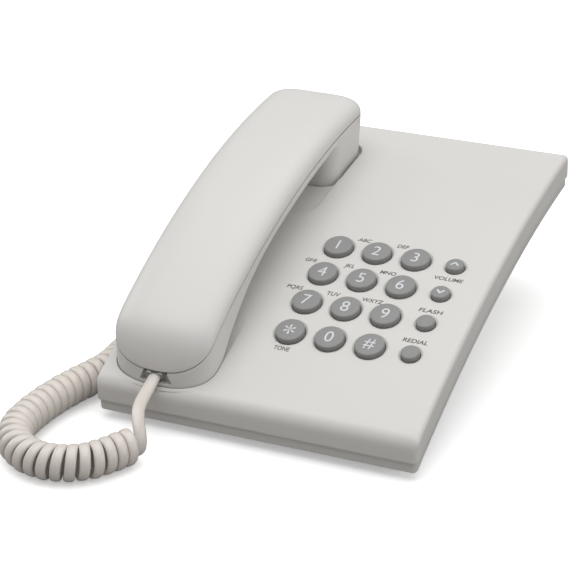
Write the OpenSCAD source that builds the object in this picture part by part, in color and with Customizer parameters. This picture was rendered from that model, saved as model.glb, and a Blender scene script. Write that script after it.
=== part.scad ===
// Corded desk telephone: sloping base, handset on its left side, coiled cord.
// Origin: centre of the rectangle under the base, on the table. X right, Y to the back, Z up.

/* [Base] */
// Width of the base
base_w = 150; // [146:1:156]
// Depth of the base, front to back
base_d = 200; // [198:1:204]
// Plan radius of the base's corners
base_corner_r = 2.5; // [2:0.5:4]
// Height of the seam between the two housings at the front
seam_front_z = 9; // [8:0.5:10]
// Slope of the seam at the front and at the back, in degrees
seam_tilt = [23.24, 2.84]; // [0:0.01:30]
// Height of the top surface at the front
top_front_z = 19.7; // [19:0.1:21]
// Slope of the top surface at the front and at the back, in degrees
top_tilt = [22.99, 3.24]; // [0:0.01:30]
// Depth of the lower housing under the seam
skirt_h = 4.6; // [4:0.1:6]
// Wall thickness of the housings
wall = 2.2; // [1.8:0.1:2.6]
// Rounding of the long top edges
side_roll_r = 2.4; // [1.5:0.1:3]
// Rounding of the front top edge
front_roll_r = 9; // [6:0.5:10]
// Rounding of the back top edge
rear_roll_r = 3; // [2:0.5:4]

/* [Keys] */
// Distance between the columns of dial keys
col_pitch = 18.57; // [17:0.01:19]
// Distance between the rows, along the top surface
row_pitch = 18.97; // [18:0.01:20]
// X of the middle column
key_mid_x = 18.57; // [16:0.01:20]
// Y of the first row
key_row_y = -3.4; // [-5:0.1:-2]
// X of the column of function keys
fn_col_x = 55.72; // [54:0.01:57]
// Diameter of a dial key
key_d = 13; // [12:0.1:13.4]
// Diameter of a function key
fn_key_d = 8.5; // [8:0.1:9]
// Height of a released key above the top surface
key_rise = 1.94; // [1.5:0.01:2.2]

/* [Handset] */
// Width of the handset
hs_w = 47.9; // [46:0.1:50]
// X of the handset's centre line
hs_x = -45.2; // [-46:0.1:-44]
// Y of the mouth end and of the ear end
hs_y = [-96.8, 79.6]; // [-100:0.1:90]
// Turn of the handset on the base, in degrees; negative moves the ear end to the right
hs_yaw = -1.2; // [-2:0.1:0]
// Radius of the arc of the handset's seam
hs_arc_r = 340; // [330:1:350]
// Centre of that arc, Y and Z
hs_arc_c = [81.7, -256.1]; // [-300:0.1:100]
// Height of the handset's back above its seam
hs_crown = 8.4; // [7:0.1:10]
// Wall thickness of the handset shells
hs_wall = 2; // [1.6:0.1:2.4]
// Depth of the ear well below the top surface
ear_depth = 4.5; // [4:0.1:4.8]
// Depth of the mouth well at the front
mouth_depth = 2; // [1.5:0.1:3]

/* [Cord] */
// Outer diameter of the coil
coil_d = 16; // [14:0.5:17]
// Diameter of the cord
cord_d = 4.6; // [4:0.1:5]

/* [Hidden] */

$fn = 96;
big_fn = 720;          // facets of the long arcs in a preview
eps = 0.05;            // assembly gap between parts that touch
bore_gap = 0.05;       // radial clearance of a shank in its hole
slide_gap = 0.1;       // clearance on each side of a sliding part

function arc_r(tilt) = base_d / (sin(tilt[0]) - sin(tilt[1]));
function arc_c(tilt, z0) = [-base_d / 2 + arc_r(tilt) * sin(tilt[0]), z0 - arc_r(tilt) * cos(tilt[0])];
function arc_z(c, r, y) = c[1] + sqrt(r * r - pow(y - c[0], 2));
function arc_slope(c, r, y) = asin((c[0] - y) / r);

seam_r = arc_r(seam_tilt);
seam_c = arc_c(seam_tilt, seam_front_z);
top_r = arc_r(top_tilt);
top_c = arc_c(top_tilt, top_front_z);
function top_z(y) = arc_z(top_c, top_r, y);
function top_slope(y) = arc_slope(top_c, top_r, y);
function seam_z(y) = arc_z(seam_c, seam_r, y);
function under_z(y, d) = arc_z(seam_c, seam_r - d, y);

hs_back_r = hs_arc_r + hs_crown;
function hs_z(y) = arc_z(hs_arc_c, hs_arc_r, y);
function hs_slope(y) = arc_slope(hs_arc_c, hs_arc_r, y);

// ---- general shapes ----
module along_x(w) { rotate([90, 0, 90]) linear_extrude(w, center = true) children(); }
module x_cyl(c, r, w) {
    translate([-w / 2, c[0], c[1]]) rotate([0, 90, 0]) cylinder(r = r, h = w, $fn = big_fn);
}
module arc_disc(c, r) { translate(c) circle(r, $fn = big_fn); }

module rounded_rect(w, d, r) {
    square([w - 2 * r, d], center = true);
    square([w, d - 2 * r], center = true);
    for (sx = [-1, 1], sy = [-1, 1]) translate([sx * (w / 2 - r), sy * (d / 2 - r)]) circle(r);
}
// upright block on a rounded rectangle from x0, y0 to x1, y1
module plan_block(x0, y0, x1, y1, r, z0 = -5, z1 = 110) {
    translate([(x0 + x1) / 2, (y0 + y1) / 2, z0])
        linear_extrude(z1 - z0) rounded_rect(x1 - x0, y1 - y0, r);
}
// the corner outside a roll of radius r, between an arc and the upright plane at y_end
module roll_waste(c, arc, y_end, side, r) {
    y = y_end - side * r;
    z = arc_z(c, arc - r, y);
    u = [y - c[0], z - c[1]] / (arc - r);
    difference() {
        polygon([[y, z], [y_end + side * r, z], [y_end + side * r, z + 3 * r], [y, z] + 3 * r * u]);
        translate([y, z]) circle(r);
    }
}
ring_n = 16;
// closed tube through the points p, with radius r[i] at p[i]
module tube(p, r) {
    last = len(p) - 1;
    points = [for (i = [0:last]) let(
        t = p[min(i + 1, last)] - p[max(i - 1, 0)],
        u = cross(t, [0, 0, 1]) / norm(cross(t, [0, 0, 1])),
        v = cross(u, t) / norm(t)) for (k = [0:ring_n - 1])
        p[i] + r[i] * (cos(360 * k / ring_n) * u + sin(360 * k / ring_n) * v)];
    sides = [for (i = [0:last - 1], k = [0:ring_n - 1]) let(
        a = i * ring_n + k, b = i * ring_n + (k + 1) % ring_n)
        each [[a, b, a + ring_n], [b, b + ring_n, a + ring_n]]];
    polyhedron(points, concat(sides, [[for (k = [ring_n - 1:-1:0]) k]],
        [[for (k = [0:ring_n - 1]) last * ring_n + k]]));
}
// places children on the top surface at (x, y), with their Z along its normal
module on_top(x, y) { translate([x, y, top_z(y)]) rotate([top_slope(y), 0, 0]) children(); }
module on_seam(x, y, drop = 0) {
    translate([x, y, under_z(y, drop)]) rotate([arc_slope(seam_c, seam_r, y), 0, 0]) children();
}
module on_handset(x, y) { translate([x, y, hs_z(y)]) rotate([hs_slope(y), 0, 0]) children(); }

// turns children laid out along Y to the handset's place in plan
hs_pivot = [hs_x, (hs_y[0] + hs_y[1]) / 2, 0];
module yawed() { translate(hs_pivot) rotate(hs_yaw) translate(-hs_pivot) children(); }
function yawed_point(p) = let(d = p - hs_pivot)
    hs_pivot + [d[0] * cos(hs_yaw) - d[1] * sin(hs_yaw), d[0] * sin(hs_yaw) + d[1] * cos(hs_yaw), d[2]];

// ---- keys ----
key_gap = 0.25;
flange_t = 1;
function next_row_y(y) = y - row_pitch * cos(top_slope(y - row_pitch / 2));
function row_y(j) = j == 0 ? key_row_y : next_row_y(row_y(j - 1));
key_names = ["key_1", "key_2", "key_3", "key_4", "key_5", "key_6", "key_7", "key_8", "key_9",
    "key_star", "key_0", "key_hash"];
fn_names = ["key_volume_up", "key_volume_down", "key_flash", "key_redial"];
module at_key(i) { on_top(key_mid_x + (i % 3 - 1) * col_pitch, row_y(floor(i / 3))) children(); }
module at_fn(j) { on_top(fn_col_x, row_y(j)) children(); }

// ---- deck frame: flat parts under the keypad ----
deck_y = -30;
board_depth = 8.6;
board_t = 1.6;
membrane_depth = 7.4;
dome_h = 1.6;
module on_deck() { on_top(0, deck_y) children(); }
function deck_s(y) = (y - deck_y) / cos(top_slope(deck_y));
// drop of the top surface below the deck's flat plane at y
function deck_drop(y) = pow(deck_s(y), 2) / (2 * top_r);

// ---- wells in the base for the handset ----
well_gap = 1.2;
hs_x0 = hs_x - hs_w / 2;
hs_x1 = hs_x + hs_w / 2;
ear_front_y = 41.5;
ear_well_y = [ear_front_y - well_gap, hs_y[1] + well_gap];
mouth_well_y = [hs_y[0] - 1.1, -54];
mouth_a = [mouth_well_y[0], top_z(mouth_well_y[0]) - mouth_depth];
mouth_b = [mouth_well_y[1], top_z(mouth_well_y[1])];
scoop_y = [13.3, 60];
scoop_r = 13.7;
scoop_a = [scoop_y[0], top_z(scoop_y[0]) - 0.25];
scoop_b = [ear_front_y, top_z(ear_front_y) - 1.5];
hs_corner_r = 9;
hs_mouth_r = 14;
grip_d = 4;            // depth of the grip under the handset's seam
neck_y = -28;          // where the grip starts to bend down to the mouth end
neck_r = 120;

// half plane above the line a-b, raised by t, as seen from the side
module above_line(a, b, t = 0) {
    d = b - a;
    n = [-d[1], d[0]] / norm(d);
    polygon([a - 3 * d + n * t, b + 3 * d + n * t, b + 3 * d + n * 120, a - 3 * d + n * 120]);
}
module well_shapes(t) {
    x0 = hs_x0 - well_gap - t;
    x1 = hs_x1 + well_gap + t;
    yawed() {
        intersection() {
            plan_block(x0, ear_well_y[0] - t, x1, ear_well_y[1] + t, hs_corner_r + t);
            difference() {
                along_x(2 * base_w) translate([-100, 0]) square([220, 100]);
                x_cyl(top_c, top_r - ear_depth - t, 2 * base_w);
            }
        }
        intersection() {
            plan_block(x0, mouth_well_y[0] - t, x1, -40 + t, hs_mouth_r + t);
            along_x(2 * base_w) above_line(mouth_a, mouth_b, -t);
        }
        intersection() {
            plan_block(hs_x0 + 1 - t, scoop_y[0] - t, hs_x1 - 0.65 + t, scoop_y[1] + t, scoop_r + t);
            along_x(2 * base_w) above_line(scoop_a, scoop_b, -t);
        }
    }
}

// ---- fasteners of the housings ----
screw_r = 1.5;
screw_head_r = 2.8;
screw_head_t = 1.8;
screw_l = 8;
screw_at = [[66, -88], [66, 88], [-64, 90], [-45, -34]];
boss_r = 3.4;
module at_screws() { for (p = screw_at) on_seam(p[0], p[1]) children(); }

// ---- rear board with the line jack and the two slide switches ----
rear_y = 82;
rear_board_depth = 11.2;
rear_edge = base_d / 2 - rear_y;       // distance from the frame's origin to the back face
jack = [13, 13, 8];
line_jack_x = 26;
knob_x = [50, -6];                     // ringer volume, dial mode
knob_travel = [6, 4];
knob = [4, 6, 3];
knob_z = -6.6;
knob_gap = 0.3;        // clearance round a knob in its opening
module at_rear(x = 0) { on_top(x, rear_y) children(); }

// ---- cord jack in the left wall, and the plugs of the cord ----
cord_jack_y = -10;
jack_z = 1.7;
plug = [7.7, 11, 5.6];
plug_out = 2;
cord_gap = 0.2;
module at_cord_jack() { on_seam(-base_w / 2, cord_jack_y) rotate(-90) translate([0, 0, jack_z]) children(); }

// ---- hook switch ----
plunger = [9, 6];
plunger_y = 68;
hook_travel = 2.2;
flange_h = 0.9;
flange_z = -wall - hook_travel - flange_h - 0.8;   // underside of the plunger's flange at rest
arm_end_x = -15;
module at_plunger() { translate([hs_x, plunger_y, top_z(plunger_y) - ear_depth]) children(); }

// ---- handset hook for wall use ----
tab = [11, 2.4, 9];
tab_y = 88;
sleeve_t = 1.2;        // wall of the sleeve that holds the hook
module at_tab() { on_top(hs_x, tab_y) children(); }

// openings in the back wall for the line jack and the knobs, and in the left wall for the cord jack
module wall_openings() {
    at_rear(line_jack_x) translate([-jack[0] / 2 - 0.1, rear_edge - 8, -rear_board_depth - 0.1])
        cube([jack[0] + 0.2, 16, jack[2] + 0.2]);
    for (k = [0, 1]) at_rear(knob_x[k])
        translate([-knob[0] / 2 - knob_gap, rear_edge - 5, knob_z - knob[2] / 2 - knob_gap])
            cube([knob[0] + knob_travel[k] + 2 * knob_gap, 10, knob[2] + 2 * knob_gap]);
    at_cord_jack() translate([-jack[0] / 2 - 0.1, -3, -jack[2] / 2 - 0.1])
        cube([jack[0] + 0.2, 8, jack[2] + 0.2]);
}

// plan of the base, with its outline moved in by t
module base_plan(t) {
    plan_block(-base_w / 2 + t, -base_d / 2 + t, base_w / 2 - t, base_d / 2 - t, base_corner_r - t / 2);
}
module housing_solid(t) {
    difference() {
        intersection() {
            base_plan(t);
            translate([0, top_c[0], top_c[1]]) rotate([0, 90, 0]) rotate_extrude($fn = big_fn) {
                w = base_w / 2 - t;
                r = side_roll_r;
                translate([top_r - 60, -w + r]) square([60 - t, 2 * (w - r)]);
                translate([top_r - 60, -w]) square([60 - t - r, 2 * w]);
                for (s = [-1, 1]) translate([top_r - t - r, s * (w - r)]) circle(r);
            }
        }
        along_x(2 * base_w) {
            roll_waste(top_c, top_r - t, -base_d / 2 + t, -1, front_roll_r - t);
            roll_waste(top_c, top_r - t, base_d / 2 - t, 1, rear_roll_r - t / 2);
        }
    }
}

module upper_housing() {
    color([0.84, 0.835, 0.82]) difference() {
        union() {
            difference() {
                housing_solid(0);
                difference() {
                    housing_solid(wall);
                    well_shapes(wall);
                }
            }
            intersection() {
                housing_solid(0);
                at_screws() translate([0, 0, -1]) cylinder(r = boss_r, h = 13);
            }
            // sleeve of the handset hook
            at_tab() translate([-tab[0] / 2 - sleeve_t, -tab[1] / 2 - sleeve_t, -tab[2]])
                cube([tab[0] + 2 * sleeve_t, tab[1] + 2 * sleeve_t, tab[2] - 0.7]);
        }
        x_cyl(seam_c, seam_r, 2 * base_w);
        well_shapes(0);
        for (i = [0:11]) at_key(i) {
            translate([0, 0, -5]) cylinder(r = key_d / 2 + key_gap, h = 8);
            translate([0, 0, -0.5]) cylinder(r1 = key_d / 2 + key_gap, r2 = key_d / 2 + 1.45, h = 0.75);
        }
        for (j = [0:3]) at_fn(j) {
            translate([0, 0, -5]) cylinder(r = fn_key_d / 2 + key_gap, h = 8);
            translate([0, 0, -0.5]) cylinder(r1 = fn_key_d / 2 + key_gap, r2 = fn_key_d / 2 + 1.45, h = 0.75);
        }
        at_screws() translate([0, 0, -1]) cylinder(r = screw_r + bore_gap, h = screw_l - 1);
        at_plunger() translate([-plunger[0] / 2 - slide_gap, -plunger[1] / 2 - slide_gap, -12])
            cube([plunger[0] + 2 * slide_gap, plunger[1] + 2 * slide_gap, 20]);
        at_tab() translate([-tab[0] / 2 - slide_gap, -tab[1] / 2 - slide_gap, -tab[2] - 1])
            cube([tab[0] + 2 * slide_gap, tab[1] + 2 * slide_gap, tab[2] + 6]);
        wall_openings();
    }
}

tray_step = 0.9;       // the lower housing stands in by this much
belly_shift = [-5.8, -2.2];
belly_y = [-75, 50];
module tray_solid(t, d) {
    intersection() {
        base_plan(tray_step + t);
        difference() {
            x_cyl(seam_c, seam_r - eps, base_w);
            x_cyl(seam_c, seam_r - d, 2 * base_w);
        }
    }
}
foot_at = [[62, -86, 0], [-62, -86, 0], [31, 84, 1], [-31, 84, 1]];   // X, Y, 1 under the stand
foot_r = 5;
foot_h = 2;
foot_sink = 0.8;
clip_x = [-22, 22];
clip = [10, 2, 4.4];
stand_x = 38;
stand_y = [-12, 94];
module at_clips() {
    for (x = clip_x, y = [stand_y[0] + wall / 2, stand_y[1] - wall / 2]) on_seam(x, y, skirt_h) children();
}
module lower_housing() {
    color([0.80, 0.795, 0.78]) difference() {
        union() {
            difference() {
                tray_solid(0, skirt_h);
                tray_solid(wall, skirt_h - wall);
            }
            // deeper middle of the tray, tapering away to the front
            intersection() {
                plan_block(-base_w / 2 + 2, belly_y[0], base_w / 2 - 2, belly_y[1], 2);
                difference() {
                    x_cyl(seam_c, seam_r - skirt_h + 0.5, base_w);
                    x_cyl(seam_c + belly_shift, seam_r - skirt_h, 2 * base_w);
                }
            }
            at_screws() translate([0, 0, -skirt_h]) cylinder(r = boss_r + 1, h = skirt_h - eps);
            intersection() {
                for (p = foot_at) if (p[2] == 0) translate([p[0], p[1], foot_h - foot_sink])
                    cylinder(r = foot_r + 1.5, h = 14);
                x_cyl(seam_c, seam_r - skirt_h + 0.5, base_w);
            }
        }
        at_screws() {
            translate([0, 0, -8]) cylinder(r = screw_r + bore_gap, h = 10);
            translate([0, 0, -8]) cylinder(r = screw_head_r + 0.3, h = 8 - 1.4);
        }
        for (p = foot_at) translate([p[0], p[1], -1]) cylinder(r = foot_r + 0.1, h = foot_h + 1);
        at_clips() translate([-clip[0] / 2 - 0.2, -clip[1] / 2 - 0.2, -3])
            cube([clip[0] + 0.4, clip[1] + 0.4, 8]);
        // sound holes of the ringer
        on_seam(sounder_at[0], sounder_at[1], skirt_h) for (a = [0:60:300], r = [0, 5, 10])
            rotate(a) translate([r, 0, -3]) cylinder(r = 1, h = 8, $fn = 24);
        wall_openings();
    }
}

slot_r = 2.2;
slot_l = 12;
keyhole_r = 4.2;
keyhole_pitch = 70;
keyhole_y = (stand_y[0] + stand_y[1]) / 2;
module stand_block(t, z0) {
    plan_block(-stand_x + t, stand_y[0] + t, stand_x - t, stand_y[1] - t, 5 - t / 2, z0, 70);
}
module desk_stand() {
    color([0.78, 0.775, 0.76]) difference() {
        union() {
            intersection() {
                difference() {
                    stand_block(0, foot_h - foot_sink);
                    stand_block(wall, foot_h - foot_sink + wall);
                }
                // everything under the tray and its deeper middle
                along_x(base_w) {
                    intersection() {
                        arc_disc(seam_c + belly_shift, seam_r - skirt_h - eps);
                        translate([-100, -20]) square([100 + belly_y[1] + eps, 100]);
                    }
                    intersection() {
                        arc_disc(seam_c, seam_r - skirt_h - eps);
                        translate([belly_y[1] + eps, -20]) square([60, 100]);
                    }
                }
            }
            at_clips() translate([-clip[0] / 2, -clip[1] / 2, -2]) cube(clip);
        }
        for (p = foot_at) translate([p[0], p[1], -1]) cylinder(r = foot_r + 0.1, h = foot_h + 1);
        for (s = [-1, 1]) translate([0, keyhole_y + s * keyhole_pitch / 2, 0]) linear_extrude(8) {
            square([2 * slot_r, slot_l - 2 * slot_r], center = true);
            for (e = [-1, 1]) translate([0, e * (slot_l / 2 - slot_r)]) circle(slot_r);
            translate([0, -slot_l / 2 - 1]) circle(keyhole_r);
        }
    }
}

module rubber_feet() {
    color([0.2, 0.2, 0.2]) for (p = foot_at) translate([p[0], p[1], 0]) {
        cylinder(r = foot_r - 0.5, h = foot_h);
        translate([0, 0, 0.5]) cylinder(r = foot_r, h = foot_h - 0.5);
    }
}

module housing_screws() {
    color([0.6, 0.6, 0.62]) at_screws() difference() {
        union() {
            translate([0, 0, -1.4 - screw_head_t]) cylinder(r = screw_head_r, h = screw_head_t - eps);
            translate([0, 0, -2]) cylinder(r = screw_r, h = screw_l - 0.5);
        }
        translate([0, 0, -4]) for (a = [0, 90]) rotate(a) cube([3, 0.7, 3.4], center = true);
    }
}

// ---- boards ----
deck_x = [-12, 68];
deck_l = [-38, 60];
module main_board() {
    color([0.1, 0.35, 0.2]) {
        on_deck() translate([deck_x[0], deck_l[0], -board_depth - board_t])
            cube([deck_x[1] - deck_x[0], deck_l[1] - deck_l[0], board_t]);
        // rear board with the jack and switches
        at_rear() translate([-20, rear_edge - 20, -rear_board_depth - board_t]) cube([81, 15.5, board_t]);
        // its tongue under the hook switch
        at_rear() translate([-20, plunger_y - rear_y - 7, -rear_board_depth - board_t])
            cube([15, 13, board_t]);
    }
}
module keypad_membrane() {
    color([0.75, 0.75, 0.75]) {
        on_deck() translate([-10, -37, -board_depth + eps])
            cube([76, 74, board_depth - membrane_depth - eps]);
        for (i = [0:11]) dome(key_mid_x + (i % 3 - 1) * col_pitch, row_y(floor(i / 3)), 5, 3.5);
        for (j = [0:3]) dome(fn_col_x, row_y(j), 3.6, 2.4);
    }
}
module dome(x, y, r1, r2) {
    on_deck() translate([x, deck_s(y), -membrane_depth - 0.3]) cylinder(r1 = r1, r2 = r2, h = dome_h + 0.3);
}

// a key with a cap, a retaining flange and a stem that ends above its dome
module key_solid(d, y) {
    stem_end = membrane_depth - dome_h - deck_drop(y) - 0.25;
    rotate_extrude() {
        translate([0, -2.6]) square([d / 2 - 0.5, key_rise + 2.6]);
        translate([0, -2.6]) square([d / 2, key_rise + 2.1]);
        translate([d / 2 - 0.5, key_rise - 0.5]) circle(0.5, $fn = 32);
        translate([0, -wall - eps * 3 - flange_t]) square([d / 2 + 1.1, flange_t]);
        translate([0, -stem_end]) square([d / 4, stem_end]);
    }
}
module dial_key(i) { color([0.58, 0.58, 0.57]) at_key(i) key_solid(key_d, row_y(floor(i / 3))); }
module fn_key(j) { color([0.58, 0.58, 0.57]) at_fn(j) key_solid(fn_key_d, row_y(j)); }

// ---- hook switch ----
module hook_plunger() {
    top_cut = top_r - ear_depth;
    color([0.85, 0.85, 0.83]) difference() {
        union() {
            at_plunger() translate([-plunger[0] / 2, -plunger[1] / 2, -5.4])
                cube([plunger[0], plunger[1], 8]);
            at_plunger() translate([-plunger[0] / 2 - 1.5, -plunger[1] / 2 - 1.5, flange_z])
                cube([plunger[0] + 3, plunger[1] + 3, flange_h]);
            at_plunger() translate([0, -2, flange_z]) cube([arm_end_x - hs_x, 4, flange_h]);
        }
        along_x(2 * base_w) difference() {
            translate([0, 20]) square([100, 90]);
            arc_disc(top_c, top_cut);
        }
    }
}
spring_r = 2.6;
spring_wire = 0.5;
spring_turns = 2.5;
spring_base = under_z(plunger_y, skirt_h - wall) - (top_z(plunger_y) - ear_depth) + 0.5;
spring_h = flange_z - spring_base - spring_wire - 0.1;
module hook_spring() {
    points = [for (i = [0:50]) let(a = 360 * spring_turns * i / 50)
        [spring_r * cos(a), spring_r * sin(a), spring_wire / 2 + spring_h * i / 50]];
    color([0.7, 0.7, 0.72]) at_plunger() translate([0, 0, spring_base])
        tube(points, [for (p = points) spring_wire / 2]);
}
module hook_switch() {
    // body beside the plunger's arm, with a flat lever under the arm
    color([0.15, 0.15, 0.15]) at_rear() {
        translate([arm_end_x + 2, plunger_y - rear_y - 6, -rear_board_depth + eps]) cube([6, 12, 5]);
        translate([arm_end_x - 2, plunger_y - rear_y - 1.5, -rear_board_depth + eps]) cube([4.2, 3, 0.15]);
    }
}

// ---- ringer and slide switches ----
sounder_at = [44, 52];
module ringer_sounder() {
    color([0.12, 0.12, 0.12]) on_seam(sounder_at[0], sounder_at[1], skirt_h - wall) difference() {
        translate([0, 0, 0.4]) cylinder(r = 15, h = 5);
        translate([0, 0, 0.3]) cylinder(r = 12.5, h = 1);
    }
}
module knob_solid(k) {
    at_rear(knob_x[k]) {
        translate([-knob[0] / 2, rear_edge - 4.4, knob_z - knob[2] / 2]) cube([knob[0], knob[1], knob[2]]);
        for (r = [-1, 0, 1]) translate([r * 1.2 - 0.25, rear_edge + 1.5, knob_z - knob[2] / 2])
            cube([0.5, 0.5, knob[2]]);
        translate([-knob[0] / 2 - 0.8, rear_edge - 4.4, knob_z - knob[2] / 2 - 0.8])
            cube([knob[0] + 1.6, 1.2, knob[2] + 1.6]);
    }
}
module ringer_knob() { color([0.5, 0.5, 0.5]) knob_solid(0); }
module mode_knob() { color([0.5, 0.5, 0.5]) knob_solid(1); }
module slide_switches() {
    color([0.65, 0.65, 0.66]) for (k = [0, 1]) at_rear(knob_x[k] + knob_travel[k] / 2)
        translate([-8, rear_edge - 11, -rear_board_depth + eps]) cube([16, 6, 7.4]);
}

// ---- jacks and plugs; local Y points into the jack, its face at y = 0 ----
module jack_solid(w, h) {
    difference() {
        translate([-jack[0] / 2, 0, -jack[2] / 2]) cube(jack);
        translate([-w / 2, -1, -h / 2]) cube([w, 12, h]);
        translate([-1.6, -1, -jack[2] / 2 - 1]) cube([3.2, 9, 3]);
    }
    for (c = [-1.5, -0.5, 0.5, 1.5]) translate([c * 1.02 - 0.2, 1.5, h / 2 - 0.6]) cube([0.4, 9, 0.7]);
}
module plug_solid() {
    difference() {
        translate([-plug[0] / 2 + 0.05, -plug_out, -plug[2] / 2 + 0.05])
            cube([plug[0] - 0.1, plug[1] - 1, plug[2] - 0.8]);
        translate([0, -plug_out - 1, 0]) rotate([-90, 0, 0]) cylinder(r = cord_d / 2 + cord_gap, h = 5);
    }
    translate([-1.4, -plug_out, -plug[2] / 2 - 0.9]) cube([2.8, plug[1] - 3, 0.8]);
    translate([-1.4, plug[1] - 5, -plug[2] / 2 - 0.9]) cube([2.8, 1.6, 1.2]);
}
module line_jack() {
    color([0.14, 0.14, 0.15]) at_rear(line_jack_x)
        translate([0, rear_edge - 0.8, -rear_board_depth + jack[2] / 2]) rotate(180) jack_solid(9.9, 6);
}
module cord_jack() {
    color([0.14, 0.14, 0.15]) at_cord_jack() translate([0, 0.6, 0]) jack_solid(plug[0], plug[2]);
}
module cord_plug_base() { color([0.85, 0.85, 0.8]) at_cord_jack() plug_solid(); }

module handset_hook() {
    color([0.84, 0.835, 0.82]) difference() {
        at_tab() {
            translate([-tab[0] / 2, -tab[1] / 2, -tab[2]]) cube([tab[0], tab[1], tab[2] + 2]);
        }
        along_x(2 * base_w) difference() {
            translate([0, 20]) square([100, 90]);
            arc_disc(top_c, top_r - 0.1);
        }
    }
}

// ---- handset ----
section_n = 2.5;
function crown_point(a, w, h) = [hs_arc_r + h * pow(sin(a), 2 / section_n),
    sign(cos(a)) * w / 2 * pow(abs(cos(a)), 2 / section_n)];
ear_roll = 9;
mouth_roll = 12;
module hs_plan(t) {
    intersection() {
        plan_block(hs_x0 + t, -200, hs_x1 - t, hs_y[1] - t, hs_corner_r - t / 2);
        plan_block(hs_x0 + t, hs_y[0] + t, hs_x1 - t, 200, hs_mouth_r - t / 2);
    }
}
module crown_solid(t) {
    difference() {
        intersection() {
            hs_plan(t);
            translate([hs_x, hs_arc_c[0], hs_arc_c[1]]) rotate([0, 90, 0]) rotate_extrude($fn = big_fn)
                polygon(concat([[hs_arc_r - 1 - t, -hs_w / 2 + t], [hs_arc_r - 1 - t, hs_w / 2 - t]],
                    [for (a = [0:7.5:180]) crown_point(a, hs_w - 2 * t, hs_crown - t)]));
        }
        along_x(3 * base_w) {
            roll_waste(hs_arc_c, hs_back_r - t, hs_y[0] + t, -1, mouth_roll - t);
            roll_waste(hs_arc_c, hs_back_r - t, hs_y[1] - t, 1, ear_roll - t);
        }
    }
}
hs_screw_x = [-12, 12];
hs_screw_y = -62;
hs_screw_r = 1.3;
module at_hs_screws() { for (x = hs_screw_x) on_handset(hs_x + x, hs_screw_y) children(); }
module handset_outer_shell() {
    color([0.85, 0.845, 0.83]) difference() {
        union() {
            difference() {
                crown_solid(0);
                crown_solid(hs_wall);
            }
            intersection() {
                crown_solid(0);
                at_hs_screws() cylinder(r = 3.2, h = 12);
            }
        }
        x_cyl(hs_arc_c, hs_arc_r + eps, 3 * base_w);
        at_hs_screws() translate([0, 0, -1]) cylinder(r = hs_screw_r + bore_gap, h = 6);
    }
}

// side view of the inner shell, with its walls moved in by t
grip_r = hs_arc_r - grip_d;
neck_u = [neck_y - hs_arc_c[0], sqrt(pow(hs_arc_r, 2) - pow(neck_y - hs_arc_c[0], 2))] / hs_arc_r;
neck_c = hs_arc_c + (grip_r - neck_r) * neck_u;
ear_fillet = 6;
ear_fillet_y = ear_front_y - ear_fillet;
ear_fillet_z = arc_z(hs_arc_c, grip_r, ear_fillet_y) - ear_fillet;
module hs_side(t) {
    difference() {
        arc_disc(hs_arc_c, hs_arc_r + (t > 0 ? 3 : 0));
        // air under the grip and the neck
        intersection() {
            arc_disc(hs_arc_c, grip_r + t);
            translate([neck_y, -20]) square([ear_fillet_y - neck_y, 120]);
        }
        intersection() {
            arc_disc(neck_c, neck_r + t);
            translate([-120, -90]) square([120 + neck_y, 200]);
        }
        translate([ear_fillet_y, ear_fillet_z]) circle(ear_fillet + t);
        translate([ear_fillet_y - 1, -20]) square([1 + ear_fillet + t, 20 + ear_fillet_z]);
        // floors of the two wells
        intersection() {
            arc_disc(top_c, top_r - ear_depth + eps + t);
            translate([0, -20]) square([100, 120]);
        }
        difference() {
            translate([-130, -90]) square([100, 200]);
            above_line(mouth_a, mouth_b, eps + t);
        }
    }
}
cup_corner_r = 8;      // plan radius of the ear cup's front corners
module inner_solid(t) {
    difference() {
        intersection() {
            hs_plan(t);
            along_x(3 * base_w) hs_side(t);
        }
        for (s = [-1, 1]) translate([hs_x + s * (hs_w / 2 - cup_corner_r), ear_front_y + cup_corner_r, 0])
            difference() {
                translate([s > 0 ? 0 : -cup_corner_r - 1, -cup_corner_r - 1, -5])
                    cube([cup_corner_r + 1, cup_corner_r + 1, ear_fillet_z + 5 + t]);
                translate([0, 0, -6]) cylinder(r = cup_corner_r - t, h = ear_fillet_z + 8 + t);
            }
    }
}

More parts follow.
